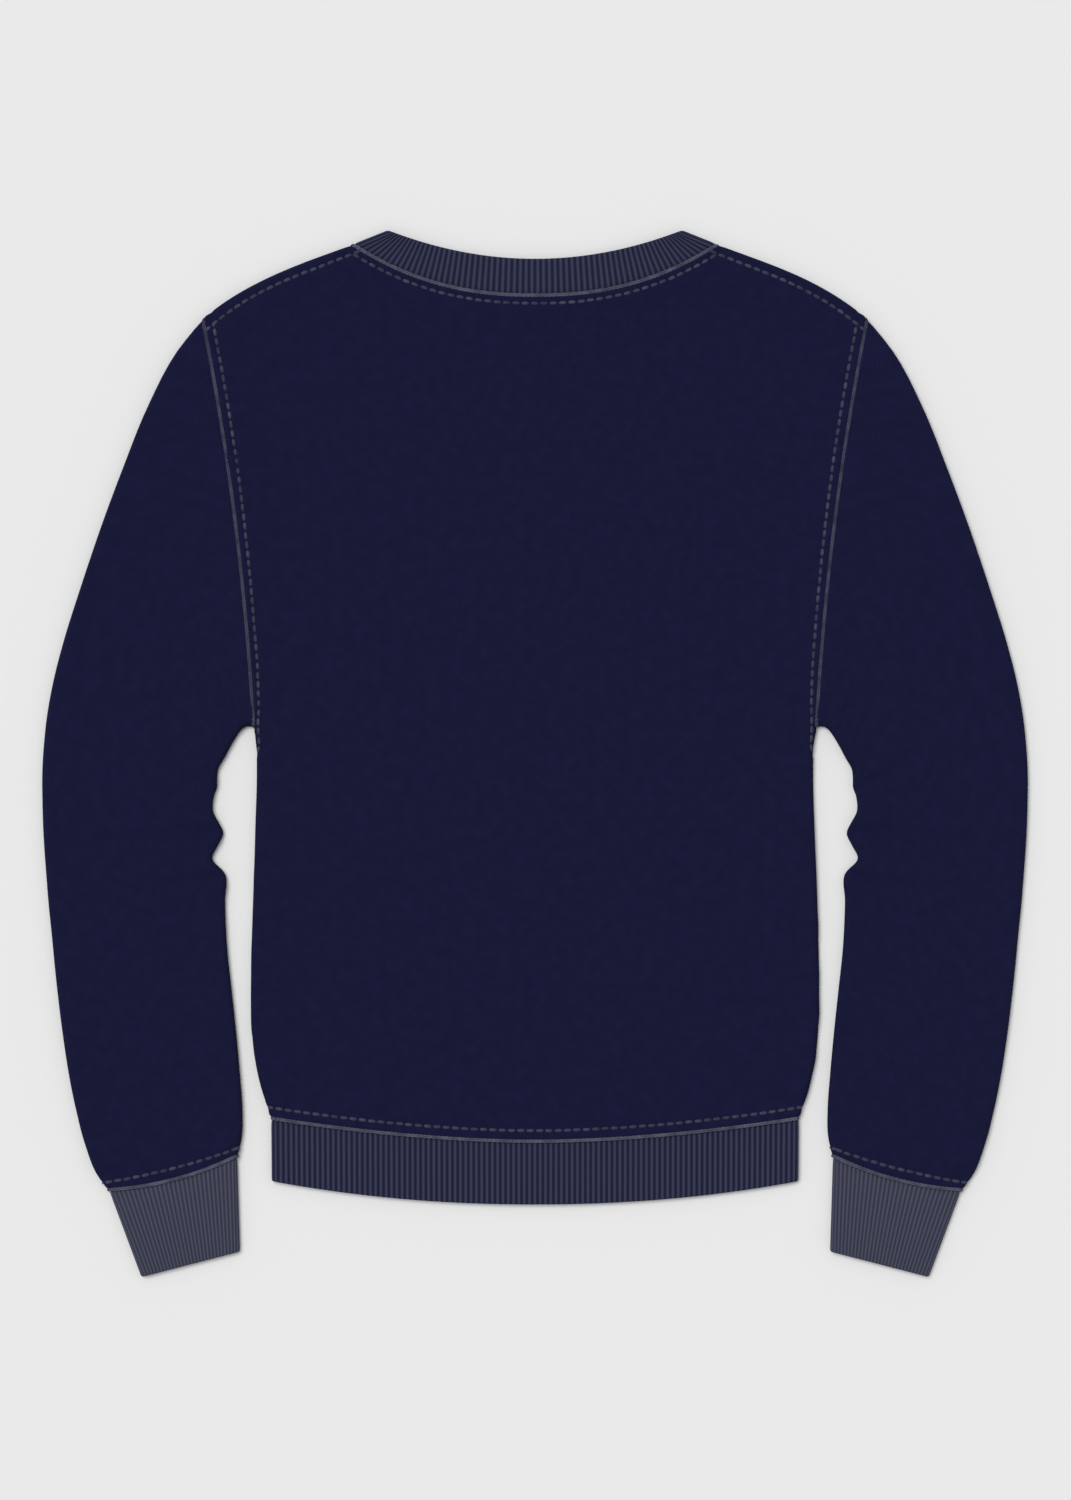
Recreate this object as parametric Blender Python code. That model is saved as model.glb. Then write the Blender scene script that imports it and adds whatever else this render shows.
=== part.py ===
"""V-neck sweatshirt laid flat on its front, with its back up.

Fleece back, front and two sleeves, with a ribbed neck band, hem and cuffs.
Metres. +Z is up, +Y runs from hem to neck, +X is the wearer's right side.
The origin is at the middle of the laid garment, on the surface it lies on.

Every cloth wall is worked out from plan curves: a fold is half a circle as
high as the laid garment, and a seam is a narrow gap between two walls.
"""

import math
from collections import namedtuple

import bmesh
import bpy
from mathutils import Vector

# ---------------------------------------------------------------- driving sizes
FLEECE_WALL = 0.0024
RIB_WALL = 0.0030
SEAM = 0.0003

FLEECE_HEIGHT = 0.0080       # two layers and the air between them, at a fold
RIB_HEIGHT = 0.0070
BODY_DIP = 0.0021            # the back lies this much lower in its middle
SLEEVE_DIP = 0.0016
DIP_REACH = 0.040            # from an edge to where the dip is full
LEAST_AIR = 0.0004           # between the two layers of a sleeve

HEM_SEAM_MIDDLE = -0.2903
HEM_SEAM_SIDE = -0.2730
HEM_EDGE_MIDDLE = -0.3378
HEM_EDGE_SIDE = -0.3203
HEM_EDGE_HALF_WIDTH = 0.1975
HEM_SEAM_POWER = 1.8
HEM_EDGE_POWER = 2.1

NECK_CORNER = (0.1369, 0.3814)     # where shoulder, neck band and back meet
BAND_CORNER = (0.1106, 0.3922)     # the band's free edge above that corner
SHOULDER_POINT = (0.2488, 0.3258)  # where shoulder, sleeve and back meet
UNDERARM = (0.2107, 0.0199)
SHOULDER_BOW = 0.0062
SHOULDER_LEAN = 0.56               # the arch is fuller towards the sleeve
ARMHOLE_BOW = 0.0054
NECK_SEAM_MIDDLE = 0.3431
NECK_EDGE_MIDDLE = 0.3706
NECK_SEAM_POWER = 2.32
NECK_EDGE_POWER = 2.0
V_DEPTH = 0.1814                   # from the neck corners down to the point

CUFF_INNER = (0.2211, -0.3731)
CUFF_OUTER = (0.2950, -0.3922)
CUFF_INSET = 0.0010                # the sleeve hangs over the cuff by this much

RIB_PITCH = 0.004
CUFF_RIBS = 26
RIB_DEPTH = 0.0007
EDGE_ROUND = 0.0014                # how far back a rib's folded edge rounds off

SideRow = namedtuple("SideRow", "half_width y")
SIDE = (                           # the body's side fold, from hem to underarm
    SideRow(0.1979, HEM_SEAM_SIDE),
    SideRow(0.2011, -0.2634),
    SideRow(0.2048, -0.2522),
    SideRow(0.2084, -0.2373),
    SideRow(0.2106, -0.2245),
    SideRow(0.2122, -0.2074),
    SideRow(0.2128, -0.1661),
    SideRow(0.2113, -0.1099),
    SideRow(0.2095, -0.0574),
    SideRow(0.2084, -0.0124),
    SideRow(0.2091, 0.0101),
    SideRow(*UNDERARM),
)

SleeveRow = namedtuple("SleeveRow", "inner outer bow dip crease")
SLEEVE = (                         # sections from the armhole to the cuff
    SleeveRow(UNDERARM, SHOULDER_POINT, ARMHOLE_BOW, 0.0, 0.0),
    SleeveRow((0.2152, 0.0203), (0.2701, 0.2986), 0.0036, 0.6, 0.0),
    SleeveRow((0.2195, 0.0182), (0.2911, 0.2581), 0.0018, 1.0, 0.0),
    SleeveRow((0.2233, 0.0133), (0.3085, 0.2147), 0.0006, 1.0, 0.0),
    SleeveRow((0.2281, 0.0053), (0.3250, 0.1704), 0.0, 1.0, 0.0),
    SleeveRow((0.2326, -0.0033), (0.3409, 0.1233), 0.0, 1.0, 0.0),
    SleeveRow((0.2374, -0.0120), (0.3534, 0.0835), 0.0, 1.0, 0.0),
    SleeveRow((0.2381, -0.0190), (0.3609, 0.0543), 0.0, 1.0, 0.6),
    SleeveRow((0.2383, -0.0257), (0.3658, 0.0273), 0.0, 1.0, 0.1),
    SleeveRow((0.2405, -0.0318), (0.3682, 0.0041), 0.0, 1.0, 0.0),
    SleeveRow((0.2410, -0.0439), (0.3693, -0.0199), 0.0, 1.0, 1.0),
    SleeveRow((0.2368, -0.0519), (0.3691, -0.0371), 0.0, 1.0, 0.3),
    SleeveRow((0.2335, -0.0596), (0.3686, -0.0544), 0.0, 1.0, -0.2),
    SleeveRow((0.2378, -0.0694), (0.3676, -0.0724), 0.0, 1.0, 0.3),
    SleeveRow((0.2419, -0.0785), (0.3662, -0.0911), 0.0, 1.0, 1.2),
    SleeveRow((0.2320, -0.0905), (0.3646, -0.1114), 0.0, 1.0, -0.2),
    SleeveRow((0.2322, -0.1099), (0.3621, -0.1361), 0.0, 1.0, 0.0),
    SleeveRow((0.2308, -0.1436), (0.3588, -0.1699), 0.0, 1.0, 0.0),
    SleeveRow((0.2273, -0.1774), (0.3541, -0.2089), 0.0, 1.0, 0.0),
    SleeveRow((0.2241, -0.2074), (0.3492, -0.2411), 0.0, 1.0, 0.0),
    SleeveRow((0.2212, -0.2389), (0.3435, -0.2688), 0.0, 1.0, 0.0),
    SleeveRow((0.2192, -0.2674), (0.3370, -0.2934), -0.0018, 1.0, 0.0),
    SleeveRow((0.2195, -0.2861), (0.3293, -0.3136), -0.0038, 0.6, 0.0),
    SleeveRow((0.2224, -0.3008), (0.3204, -0.3267), -0.0052, 0.0, 0.0),
)
CREASE_DEPTH = 0.0018              # of an elbow crease whose factor is 1
CREASE_REACH = 0.45                # how far it runs across the sleeve

# Where the grids have their lines, as fractions of each stretch.
FOLD_ANGLES = (0.0, math.pi / 4, math.pi / 2, 3 * math.pi / 4, math.pi)
SLEEVE_TOP = (0.0, 0.12, 0.28, 0.46, 0.66, 0.84, 1.0)
SLEEVE_UNDER = (0.33, 0.67)
NECK_COLUMNS = (0.0, 0.2, 0.4, 0.58, 0.74, 0.87, 0.97, 0.988, 1.0)
V_COLUMNS = (0.0, 0.33, 0.66, 0.93, 0.988, 1.0)
SHOULDER_COLUMNS = (0.33, 0.66, 1.0)
HEM_UNDER_COLUMNS = 10
NECK_UNDER_COLUMNS = 12
CUFF_UNDER_COLUMNS = 4
EDGE_CURVE_STEPS = 24

NAVY = (0.0103, 0.0110, 0.0382, 1.0)
RIB_NAVY = (0.0252, 0.0273, 0.0578, 1.0)
CUFF_NAVY = (0.0513, 0.0545, 0.0844, 1.0)


# ---------------------------------------------------------------- plan curves
def smooth(amount):
    """Ease from 0 to 1 over amount 0 to 1."""
    amount = min(max(amount, 0.0), 1.0)
    return amount * amount * (3.0 - 2.0 * amount)


def dished(x, half_width, middle, end, power):
    """Height of a curve that rises from its middle to both of its ends."""
    return middle + (end - middle) * min(abs(x) / half_width, 1.0) ** power


def hem_seam(x):
    """Y of the seam between body and hem rib."""
    return dished(x, SIDE[0].half_width, HEM_SEAM_MIDDLE, HEM_SEAM_SIDE, HEM_SEAM_POWER)


def hem_edge(x):
    """Y of the hem rib's folded lower edge."""
    return dished(x, HEM_EDGE_HALF_WIDTH, HEM_EDGE_MIDDLE, HEM_EDGE_SIDE, HEM_EDGE_POWER)


def neck_seam(x):
    """Y of the seam between back and neck band."""
    return dished(x, NECK_CORNER[0], NECK_SEAM_MIDDLE, NECK_CORNER[1], NECK_SEAM_POWER)


def neck_edge(x):
    """Y of the neck band's folded edge on the back."""
    return dished(x, BAND_CORNER[0], NECK_EDGE_MIDDLE, BAND_CORNER[1], NECK_EDGE_POWER)


def v_seam(x):
    """Y of the straight seam between front and neck band."""
    return NECK_CORNER[1] - V_DEPTH * (1.0 - min(abs(x) / NECK_CORNER[0], 1.0))


def shoulder(x):
    """Y of the shoulder fold, a shallow arch from neck corner to sleeve."""
    run = SHOULDER_POINT[0] - NECK_CORNER[0]
    along = (abs(x) - NECK_CORNER[0]) / run
    chord = NECK_CORNER[1] + along * (SHOULDER_POINT[1] - NECK_CORNER[1])
    lean = 1.0 + SHOULDER_LEAN * (2.0 * along - 1.0)
    return chord + 4.0 * SHOULDER_BOW * along * (1.0 - along) * lean


def back_top(x):
    """Y of the back's upper boundary: neck seam, then shoulder."""
    return neck_seam(x) if abs(x) <= NECK_CORNER[0] else shoulder(x)


def front_top(x):
    """Y of the front's upper boundary: V, then shoulder."""
    return v_seam(x) if abs(x) <= NECK_CORNER[0] else shoulder(x)


Path = namedtuple("Path", "length at")


def chord_path(start, end, bow=0.0):
    """A straight path, or one that bows to its left by the given amount."""
    start, end = Vector(start), Vector(end)
    length = (end - start).length
    along = (end - start) / length
    left = Vector((-along.y, along.x))

    def at(distance):
        share = distance / length
        return start + along * distance + left * (4.0 * bow * share * (1.0 - share))

    return Path(length, at)


def polyline_path(points):
    """A path through points, whose ends run on straight."""
    points = [Vector(point) for point in points]
    lengths = [(b - a).length for a, b in zip(points, points[1:])]

    def at(distance):
        passed = 0.0
        for index, length in enumerate(lengths):
            if distance <= passed + length or index == len(lengths) - 1:
                share = (distance - passed) / length
                return points[index].lerp(points[index + 1], share)
            passed += length

    return Path(sum(lengths), at)


# ---------------------------------------------------------------- folds and walls
ARMHOLE = chord_path(UNDERARM, SHOULDER_POINT, ARMHOLE_BOW)
FLEECE_RADIUS = FLEECE_HEIGHT / 2
RIB_RADIUS = RIB_HEIGHT / 2


def fold_lines():
    """Plan lines of the right half's folds, with the cloth on their left."""
    run = SHOULDER_POINT[0] - NECK_CORNER[0]
    steps = 6
    side = [Vector((row.half_width, row.y)) for row in SIDE]
    over = [Vector(SLEEVE[1].outer)]
    for step in range(steps + 1):
        x = SHOULDER_POINT[0] - run * step / steps
        over.append(Vector((x, shoulder(x))))
    over.append(Vector(BAND_CORNER))
    return side, over


FOLD_LINES = fold_lines()


def nearest_fold(point):
    """Distance from a plan point to the nearest fold, and the way in from it."""
    best, inward = 1.0, Vector((-1.0, 0.0))
    for line in FOLD_LINES:
        for start, end in zip(line, line[1:]):
            along = end - start
            share = (point - start).dot(along) / along.length_squared
            foot = start + along * min(max(share, 0.0), 1.0)
            distance = (point - foot).length
            if distance < best:
                left = Vector((-along.y, along.x)).normalized()
                best = distance
                inward = (point - foot).normalized() if distance > 1e-5 else left
    return best, inward


def body_edge_distance(point):
    """Distance from a plan point of the right half to the back's edge or fold."""
    fold, _ = nearest_fold(point)
    distances = [fold, point.y - hem_seam(point.x), back_top(point.x) - point.y]
    if point.y > UNDERARM[1]:
        height = (point.y - UNDERARM[1]) / (SHOULDER_POINT[1] - UNDERARM[1])
        distances.append(ARMHOLE.at(height * ARMHOLE.length).x - point.x)
    return max(min(distances), 0.0)


def body_wall(x, y, upper):
    """Outer and inner point of the body's wall over one plan point."""
    side = -1.0 if x < 0.0 else 1.0
    point = Vector((abs(x), y))
    distance, inward = nearest_fold(point)
    bend = math.asin(min(max(1.0 - distance / FLEECE_RADIUS, 0.0), 1.0))
    rise = FLEECE_RADIUS - SEAM / 2
    dip = BODY_DIP * smooth(body_edge_distance(point) / DIP_REACH) if upper else 0.0
    shift = inward * (FLEECE_WALL * math.sin(bend))
    outer_z = FLEECE_RADIUS + SEAM / 2 + rise * math.cos(bend) - dip
    inner_z = FLEECE_RADIUS + SEAM / 2 + (rise - FLEECE_WALL) * math.cos(bend) - dip
    if not upper:
        outer_z, inner_z = FLEECE_HEIGHT - outer_z, FLEECE_HEIGHT - inner_z
    outer = Vector((side * point.x, point.y, outer_z))
    inner = Vector((side * (point.x + shift.x), point.y + shift.y, inner_z))
    if x == 0.0:
        inner.x = 0.0
    return outer, inner


# ---------------------------------------------------------------- body panels
def body_rows():
    """Plan points of the right side, from hem seam to shoulder point."""
    rows = [Vector((row.half_width, row.y)) for row in SIDE]
    turn = FLEECE_RADIUS * (1.0 - math.sin(FOLD_ANGLES[1]))
    stretch = ARMHOLE.length - 2 * FLEECE_RADIUS
    stops = [turn] + [FLEECE_RADIUS + share * stretch for share in SLEEVE_TOP]
    stops += [ARMHOLE.length - turn, ARMHOLE.length]
    rows += [ARMHOLE.at(stop) - Vector((SEAM / 2, 0.0)) for stop in stops]
    return rows


def body_columns(neck_columns, half_width):
    """X of each column of the right half, for a row of this half width."""
    inside = half_width - FLEECE_RADIUS
    corner = NECK_CORNER[0] / (SHOULDER_POINT[0] - FLEECE_RADIUS)
    shares = [share * corner for share in neck_columns]
    shares += [corner + share * (1.0 - corner) for share in SHOULDER_COLUMNS]
    columns = [share * inside for share in shares]
    columns.append(half_width - FLEECE_RADIUS * (1.0 - math.sin(FOLD_ANGLES[1])))
    columns.append(half_width)
    return columns


def body_grids(neck_columns, top, upper):
    """Outer and inner grids of a body panel, a list of rows each."""
    rows = body_rows()
    bottom, last = rows[0], rows[-1]
    top_columns = body_columns(neck_columns, last.x)
    outer_grid, inner_grid = [], []
    for row in rows:
        share = (row.y - bottom.y) / (last.y - bottom.y)
        columns = body_columns(neck_columns, row.x)
        right = []
        for x, top_x, bottom_x in zip(columns, top_columns, body_columns(neck_columns, bottom.x)):
            rise = (1.0 - share) * (hem_seam(bottom_x) + SEAM / 2 - bottom.y)
            rise += share * (top(top_x) - SEAM / 2 - last.y)
            right.append((x, row.y + rise))
        plan = [(-x, y) for x, y in reversed(right[1:])] + right
        walls = [body_wall(x, y, upper) for x, y in plan]
        outer_grid.append([outer for outer, _ in walls])
        inner_grid.append([inner for _, inner in walls])
    return outer_grid, inner_grid


# ---------------------------------------------------------------- tubes laid flat
Mark = namedtuple("Mark", "zone amount relief")


def ring_marks(top, under, ribbed=False):
    """Places round a laid tube: top, far fold, underside and near fold.

    Every second place on top and on the folds' upper halves is a valley when
    the tube is ribbed. The underside lies flat and stays plain.
    """
    marks = [Mark("top", share, 0.0) for share in top]
    marks += [Mark("far", angle, 0.0) for angle in FOLD_ANGLES[1:]]
    marks += [Mark("under", share, 0.0) for share in under]
    marks += [Mark("near", angle, 0.0) for angle in FOLD_ANGLES[:-1]]
    if ribbed:
        last = len(top)
        marks = [mark._replace(relief=RIB_DEPTH) if index < last and index % 2 else mark
                 for index, mark in enumerate(marks)]
    return marks


def laid_ring(upper, lower, height, depth, marks, skew=(1.0, 1.0), dip=None):
    """Points round a laid tube, at a depth below its outer face.

    upper and lower are the plan paths of its two layers, from the near fold to
    the far one. skew lengthens the folds along paths that meet them aslant.
    """
    radius = height / 2
    points = []
    for zone, amount, relief in marks:
        deep = depth + relief
        reach = radius - (radius - deep) * math.sin(amount)
        level = radius + (radius - deep) * math.cos(amount)
        if zone == "top":
            start = radius * skew[0]
            plan = upper.at(start + amount * (upper.length - 2 * start))
            level = height - deep - (dip(amount) if dip else 0.0)
        elif zone == "under":
            start = radius * skew[1]
            plan = lower.at(lower.length - start - amount * (lower.length - 2 * start))
            level = deep
        elif zone == "far":
            path, slant = (upper, skew[0]) if amount < math.pi / 2 else (lower, skew[1])
            plan = path.at(path.length - reach * slant)
        else:
            path, slant = (upper, skew[0]) if amount > math.pi / 2 else (lower, skew[1])
            plan = path.at(reach * slant)
            level = height - level
        points.append(Vector((plan.x, plan.y, level)))
    return points


def even(count):
    """Fractions that cut a stretch into equal parts, both ends included."""
    return [step / count for step in range(count + 1)]


def sleeve_rings():
    """Rings of the right sleeve: the outer ones down, the inner ones back up."""
    marks = ring_marks(SLEEVE_TOP, SLEEVE_UNDER)
    deepest = FLEECE_HEIGHT - 2 * FLEECE_WALL - LEAST_AIR
    outer, inner = [], []
    for row in SLEEVE:
        start, end = Vector(row.inner), Vector(row.outer)
        if row is SLEEVE[0]:
            start.x += SEAM / 2
            end.x += SEAM / 2
        path = chord_path(start, end, row.bow)

        def dip(share, row=row):
            lying = row.dip * SLEEVE_DIP * smooth(min(share, 1.0 - share) / 0.3)
            crease = row.crease * CREASE_DEPTH * smooth(1.0 - share / CREASE_REACH)
            return min(lying + crease, deepest)

        outer.append(laid_ring(path, path, FLEECE_HEIGHT, 0.0, marks, dip=dip))
        inner.append(laid_ring(path, path, FLEECE_HEIGHT, FLEECE_WALL, marks, dip=dip))
    return outer + inner[::-1]


def rib_rings(seam, edge, marks, upper_skew=(1.0, 1.0), lower_skew=(1.0, 1.0)):
    """Rings of a doubled rib from its seam to its folded edge and back.

    seam and edge are pairs of plan paths, one for each layer.
    """
    def ring(paths, index, depth):
        skew = (upper_skew[index], lower_skew[index])
        return laid_ring(paths[0], paths[1], RIB_HEIGHT, depth, marks, skew)

    def set_back(depth):
        from_seam, from_edge = ring(seam, 0, depth), ring(edge, 1, depth)
        return [b + (a - b).normalized() * EDGE_ROUND for a, b in zip(from_seam, from_edge)]

    return [ring(seam, 0, 0.0), set_back(0.0), ring(edge, 1, RIB_WALL / 2),
            set_back(RIB_WALL), ring(seam, 0, RIB_WALL)]


def cuff_rings():
    """Rings of the right cuff."""
    inner, outer = Vector(SLEEVE[-1].inner), Vector(SLEEVE[-1].outer)
    across = (outer - inner).normalized()
    down = Vector((across.y, -across.x))
    start = inner + across * CUFF_INSET + down * SEAM
    end = outer - across * CUFF_INSET + down * SEAM
    seam = chord_path(start, end, SLEEVE[-1].bow)
    edge = chord_path(CUFF_INNER, CUFF_OUTER)
    marks = ring_marks(even(2 * CUFF_RIBS), even(CUFF_UNDER_COLUMNS)[1:-1], ribbed=True)
    return rib_rings((seam, seam), (edge, edge), marks)


def hem_rings():
    """Rings of the hem rib, whose seam follows the body's columns."""
    columns = body_columns(NECK_COLUMNS, SIDE[0].half_width)
    xs = [-x for x in reversed(columns[1:])] + columns
    seam = polyline_path([(x, hem_seam(x) - SEAM / 2) for x in xs])
    width = HEM_EDGE_HALF_WIDTH
    edge_xs = [width * (2 * share - 1) for share in even(EDGE_CURVE_STEPS)]
    edge = polyline_path([(x, hem_edge(x)) for x in edge_xs])
    ribs = round(seam.length / RIB_PITCH)
    marks = ring_marks(even(2 * ribs), even(HEM_UNDER_COLUMNS)[1:-1], ribbed=True)
    return rib_rings((seam, seam), (edge, edge), marks)


def slant(path, corner, far_end):
    """How much longer a path is than its distance from the corner's fold."""
    step = 0.004
    leaving = (path.at(step) - path.at(0.0)).normalized()
    fold = (Vector(far_end) - Vector(corner)).normalized()
    return 1.0 / abs(leaving.x * fold.y - leaving.y * fold.x)


def neck_rings():
    """Rings of the neck band: along the back, round both corners, down the V."""
    columns = [share * NECK_CORNER[0] for share in NECK_COLUMNS]
    xs = [-x for x in reversed(columns[1:])] + columns
    back_seam = polyline_path([(x, neck_seam(x)) for x in xs])
    width = BAND_CORNER[0]
    edge_xs = [width * (2 * share - 1) for share in even(EDGE_CURVE_STEPS)]
    back_edge = polyline_path([(x, neck_edge(x)) for x in edge_xs])

    corner, free = Vector(NECK_CORNER), Vector(BAND_CORNER)
    point = Vector((0.0, NECK_CORNER[1] - V_DEPTH))
    edge_point = Vector((0.0, free.y - V_DEPTH * free.x / corner.x))
    left_corner, left_free = Vector((-corner.x, corner.y)), Vector((-free.x, free.y))
    v_line = polyline_path([left_corner, point, corner])
    v_edge = polyline_path([left_free, edge_point, free])

    ribs = round((back_seam.length + back_edge.length) / 2 / RIB_PITCH)
    marks = ring_marks(even(2 * ribs), even(NECK_UNDER_COLUMNS)[1:-1], ribbed=True)
    rings = rib_rings(
        (back_seam, v_line), (back_edge, v_edge), marks,
        upper_skew=(slant(back_seam, left_corner, left_free),
                    slant(back_edge, left_free, left_corner)),
        lower_skew=(slant(v_line, left_corner, left_free),
                    slant(v_edge, left_free, left_corner)))
    for seam_ring, next_ring in ((rings[0], rings[1]), (rings[-1], rings[-2])):
        for index, vertex in enumerate(seam_ring):
            across = (next_ring[index] - vertex).normalized()
            seam_ring[index] = vertex + across * (SEAM * 4 / 3)
    return rings


# ---------------------------------------------------------------- meshes
def new_mesh(name, bm):
    """Turn a closed bmesh into a mesh whose faces point out."""
    bmesh.ops.recalc_face_normals(bm, faces=bm.faces)
    mesh = bpy.data.meshes.new(name)
    bm.to_mesh(mesh)
    bm.free()
    mesh.shade_smooth()
    mesh.set_sharp_from_angle(angle=math.radians(50))
    return mesh


def wall_from_grids(name, outer_grid, inner_grid):
    """A closed wall between two grids of points."""
    bm = bmesh.new()
    outer = [[bm.verts.new(point) for point in row] for row in outer_grid]
    inner = [[bm.verts.new(point) for point in row] for row in inner_grid]
    rows, columns = len(outer), len(outer[0])
    for grid in (outer, inner):
        for r in range(rows - 1):
            for c in range(columns - 1):
                bm.faces.new((grid[r][c], grid[r][c + 1], grid[r + 1][c + 1], grid[r + 1][c]))
    edges = [[(0, c) for c in range(columns)], [(rows - 1, c) for c in range(columns)],
             [(r, 0) for r in range(rows)], [(r, columns - 1) for r in range(rows)]]
    for edge in edges:
        for (r0, c0), (r1, c1) in zip(edge, edge[1:]):
            bm.faces.new((outer[r0][c0], outer[r1][c1], inner[r1][c1], inner[r0][c0]))
    return new_mesh(name, bm)


def wall_from_rings(name, rings, mirrored=False):
    """A closed wall through rings that run out along it and back inside it."""
    sign = -1.0 if mirrored else 1.0
    bm = bmesh.new()
    loops = [[bm.verts.new((sign * point.x, point.y, point.z)) for point in ring]
             for ring in rings]
    for loop, following in zip(loops, loops[1:] + loops[:1]):
        for index in range(len(loop)):
            after = (index + 1) % len(loop)
            bm.faces.new((loop[index], loop[after], following[after], following[index]))
    return new_mesh(name, bm)


def cloth_material(name, colour, roughness):
    """A matt cloth."""
    material = bpy.data.materials.new(name)
    material.use_nodes = True
    shader = material.node_tree.nodes["Principled BSDF"]
    shader.inputs["Base Color"].default_value = colour
    shader.inputs["Roughness"].default_value = roughness
    shader.inputs["Metallic"].default_value = 0.0
    return material


def clear_scene():
    """Remove every object that the file opened with."""
    for item in list(bpy.data.objects):
        bpy.data.objects.remove(item, do_unlink=True)


def build():
    """Make the eight cloth pieces, in a collection named for the garment."""
    clear_scene()
    collection = bpy.data.collections.new("v_neck_sweatshirt")
    bpy.context.scene.collection.children.link(collection)
    fleece = cloth_material("navy fleece", NAVY, 0.90)
    rib = cloth_material("navy rib", RIB_NAVY, 0.88)
    cuff_rib = cloth_material("grey navy cuff rib", CUFF_NAVY, 0.88)

    back = body_grids(NECK_COLUMNS, back_top, upper=True)
    front = body_grids(V_COLUMNS, front_top, upper=False)
    sleeve, cuff = sleeve_rings(), cuff_rings()
    pieces = (
        (wall_from_grids("body_back", *back), fleece),
        (wall_from_grids("body_front", *front), fleece),
        (wall_from_rings("sleeve_right", sleeve), fleece),
        (wall_from_rings("sleeve_left", sleeve, mirrored=True), fleece),
        (wall_from_rings("neck_rib", neck_rings()), rib),
        (wall_from_rings("hem_rib", hem_rings()), rib),
        (wall_from_rings("cuff_right", cuff), cuff_rib),
        (wall_from_rings("cuff_left", cuff, mirrored=True), cuff_rib),
    )
    for mesh, material in pieces:
        mesh.materials.append(material)
        collection.objects.link(bpy.data.objects.new(mesh.name, mesh))


build()
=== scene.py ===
"""The looks of a V-neck sweatshirt laid flat on its front, with its back up.

Metres. +Z is up, +Y runs from hem to neck and +X is the wearer's right side.
Each cloth piece is a thin closed wall on the form of its solid: a fold is half
a circle as high as the laid garment, seams pull the cloth down into a groove,
and the creases are soft troughs at listed places.
"""

from __future__ import annotations

import logging
import math
from dataclasses import dataclass, field
from enum import Enum
from functools import partial
from typing import Callable, Sequence

import bpy
import numpy as np
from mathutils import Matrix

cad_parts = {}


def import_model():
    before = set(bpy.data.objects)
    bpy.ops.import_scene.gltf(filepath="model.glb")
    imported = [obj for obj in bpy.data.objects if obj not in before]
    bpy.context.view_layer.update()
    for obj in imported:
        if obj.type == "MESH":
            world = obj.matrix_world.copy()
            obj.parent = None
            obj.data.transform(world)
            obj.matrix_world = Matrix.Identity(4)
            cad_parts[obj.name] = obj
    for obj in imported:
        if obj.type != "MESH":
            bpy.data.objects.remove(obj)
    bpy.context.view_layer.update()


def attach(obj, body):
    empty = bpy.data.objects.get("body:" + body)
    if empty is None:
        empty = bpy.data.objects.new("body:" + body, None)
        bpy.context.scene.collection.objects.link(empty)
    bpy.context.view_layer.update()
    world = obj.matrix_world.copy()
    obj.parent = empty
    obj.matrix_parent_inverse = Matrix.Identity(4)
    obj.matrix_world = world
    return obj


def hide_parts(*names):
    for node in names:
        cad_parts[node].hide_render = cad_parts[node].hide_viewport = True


LOG = logging.getLogger("sweatshirt")
MM = 0.001
BODY = "root"
MATH = "ShaderNodeMath"
SHARP_ANGLE = math.radians(55)      # edges that bend more than this stay sharp
Array = np.ndarray
Item = bpy.types.Object
Material = bpy.types.Material
Socket = bpy.types.NodeSocket
Tree = bpy.types.NodeTree


# ------------------------------------------------------------------ small maths
def smooth(amount: Array | float) -> Array:
    """Ease from 0 to 1 while amount goes from 0 to 1."""
    amount = np.clip(amount, 0.0, 1.0)
    return amount * amount * (3.0 - 2.0 * amount)


def hollow(distance: Array, width: float) -> Array:
    """A soft trough's section: 1 in its middle, fading out over width."""
    return np.exp(-((distance / width) ** 2))


def unit(vectors: Array) -> Array:
    """Scale vectors to length 1, along the last axis."""
    return vectors / np.maximum(np.linalg.norm(vectors, axis=-1, keepdims=True), 1e-12)


def spline(at: Array, stations: Array, values: Array) -> Array:
    """Read a smooth curve through table values.

    Args:
        at: Where to read it.
        stations: The table's positions, rising.
        values: The table's values, one row for each station.

    Returns:
        One row of values for each position in at.
    """
    slopes = np.gradient(values, stations, axis=0)
    index = np.clip(np.searchsorted(stations, at) - 1, 0, len(stations) - 2)
    run = stations[index + 1] - stations[index]
    t = np.clip((at - stations[index]) / run, 0.0, 1.0)
    if values.ndim == 2:
        t, run = t[:, None], run[:, None]
    return ((1 + 2 * t) * (1 - t) ** 2 * values[index] + t * (1 - t) ** 2 * run * slopes[index]
            + t * t * (3 - 2 * t) * values[index + 1]
            - t * t * (1 - t) * run * slopes[index + 1])


def graded(length: float, step: float, start: Sequence[float], end: Sequence[float]) -> Array:
    """Positions along a stretch, close together near its ends.

    Args:
        length: The stretch's length.
        step: The spacing wanted in its middle.
        start: Offsets from its start, rising from 0.
        end: Offsets back from its end, rising from 0.

    Returns:
        The rising positions.
    """
    low, high = start[-1], length - end[-1]
    count = max(int(round((high - low) / step)), 1)
    middle = np.linspace(low, high, count + 1)[1:-1]
    return np.concatenate([start, middle, length - np.array(end)[::-1]])


def run_lengths(points: Array) -> Array:
    """Distance walked to each point along the rows of a grid."""
    steps = np.linalg.norm(np.diff(points, axis=1), axis=-1)
    return np.pad(np.cumsum(steps, axis=1), ((0, 0), (1, 0)))


def both_halves(points: Array) -> Array:
    """A plan line from the middle outward, made whole from left to right."""
    return np.vstack([(points * [-1.0, 1.0])[:0:-1], points])


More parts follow.
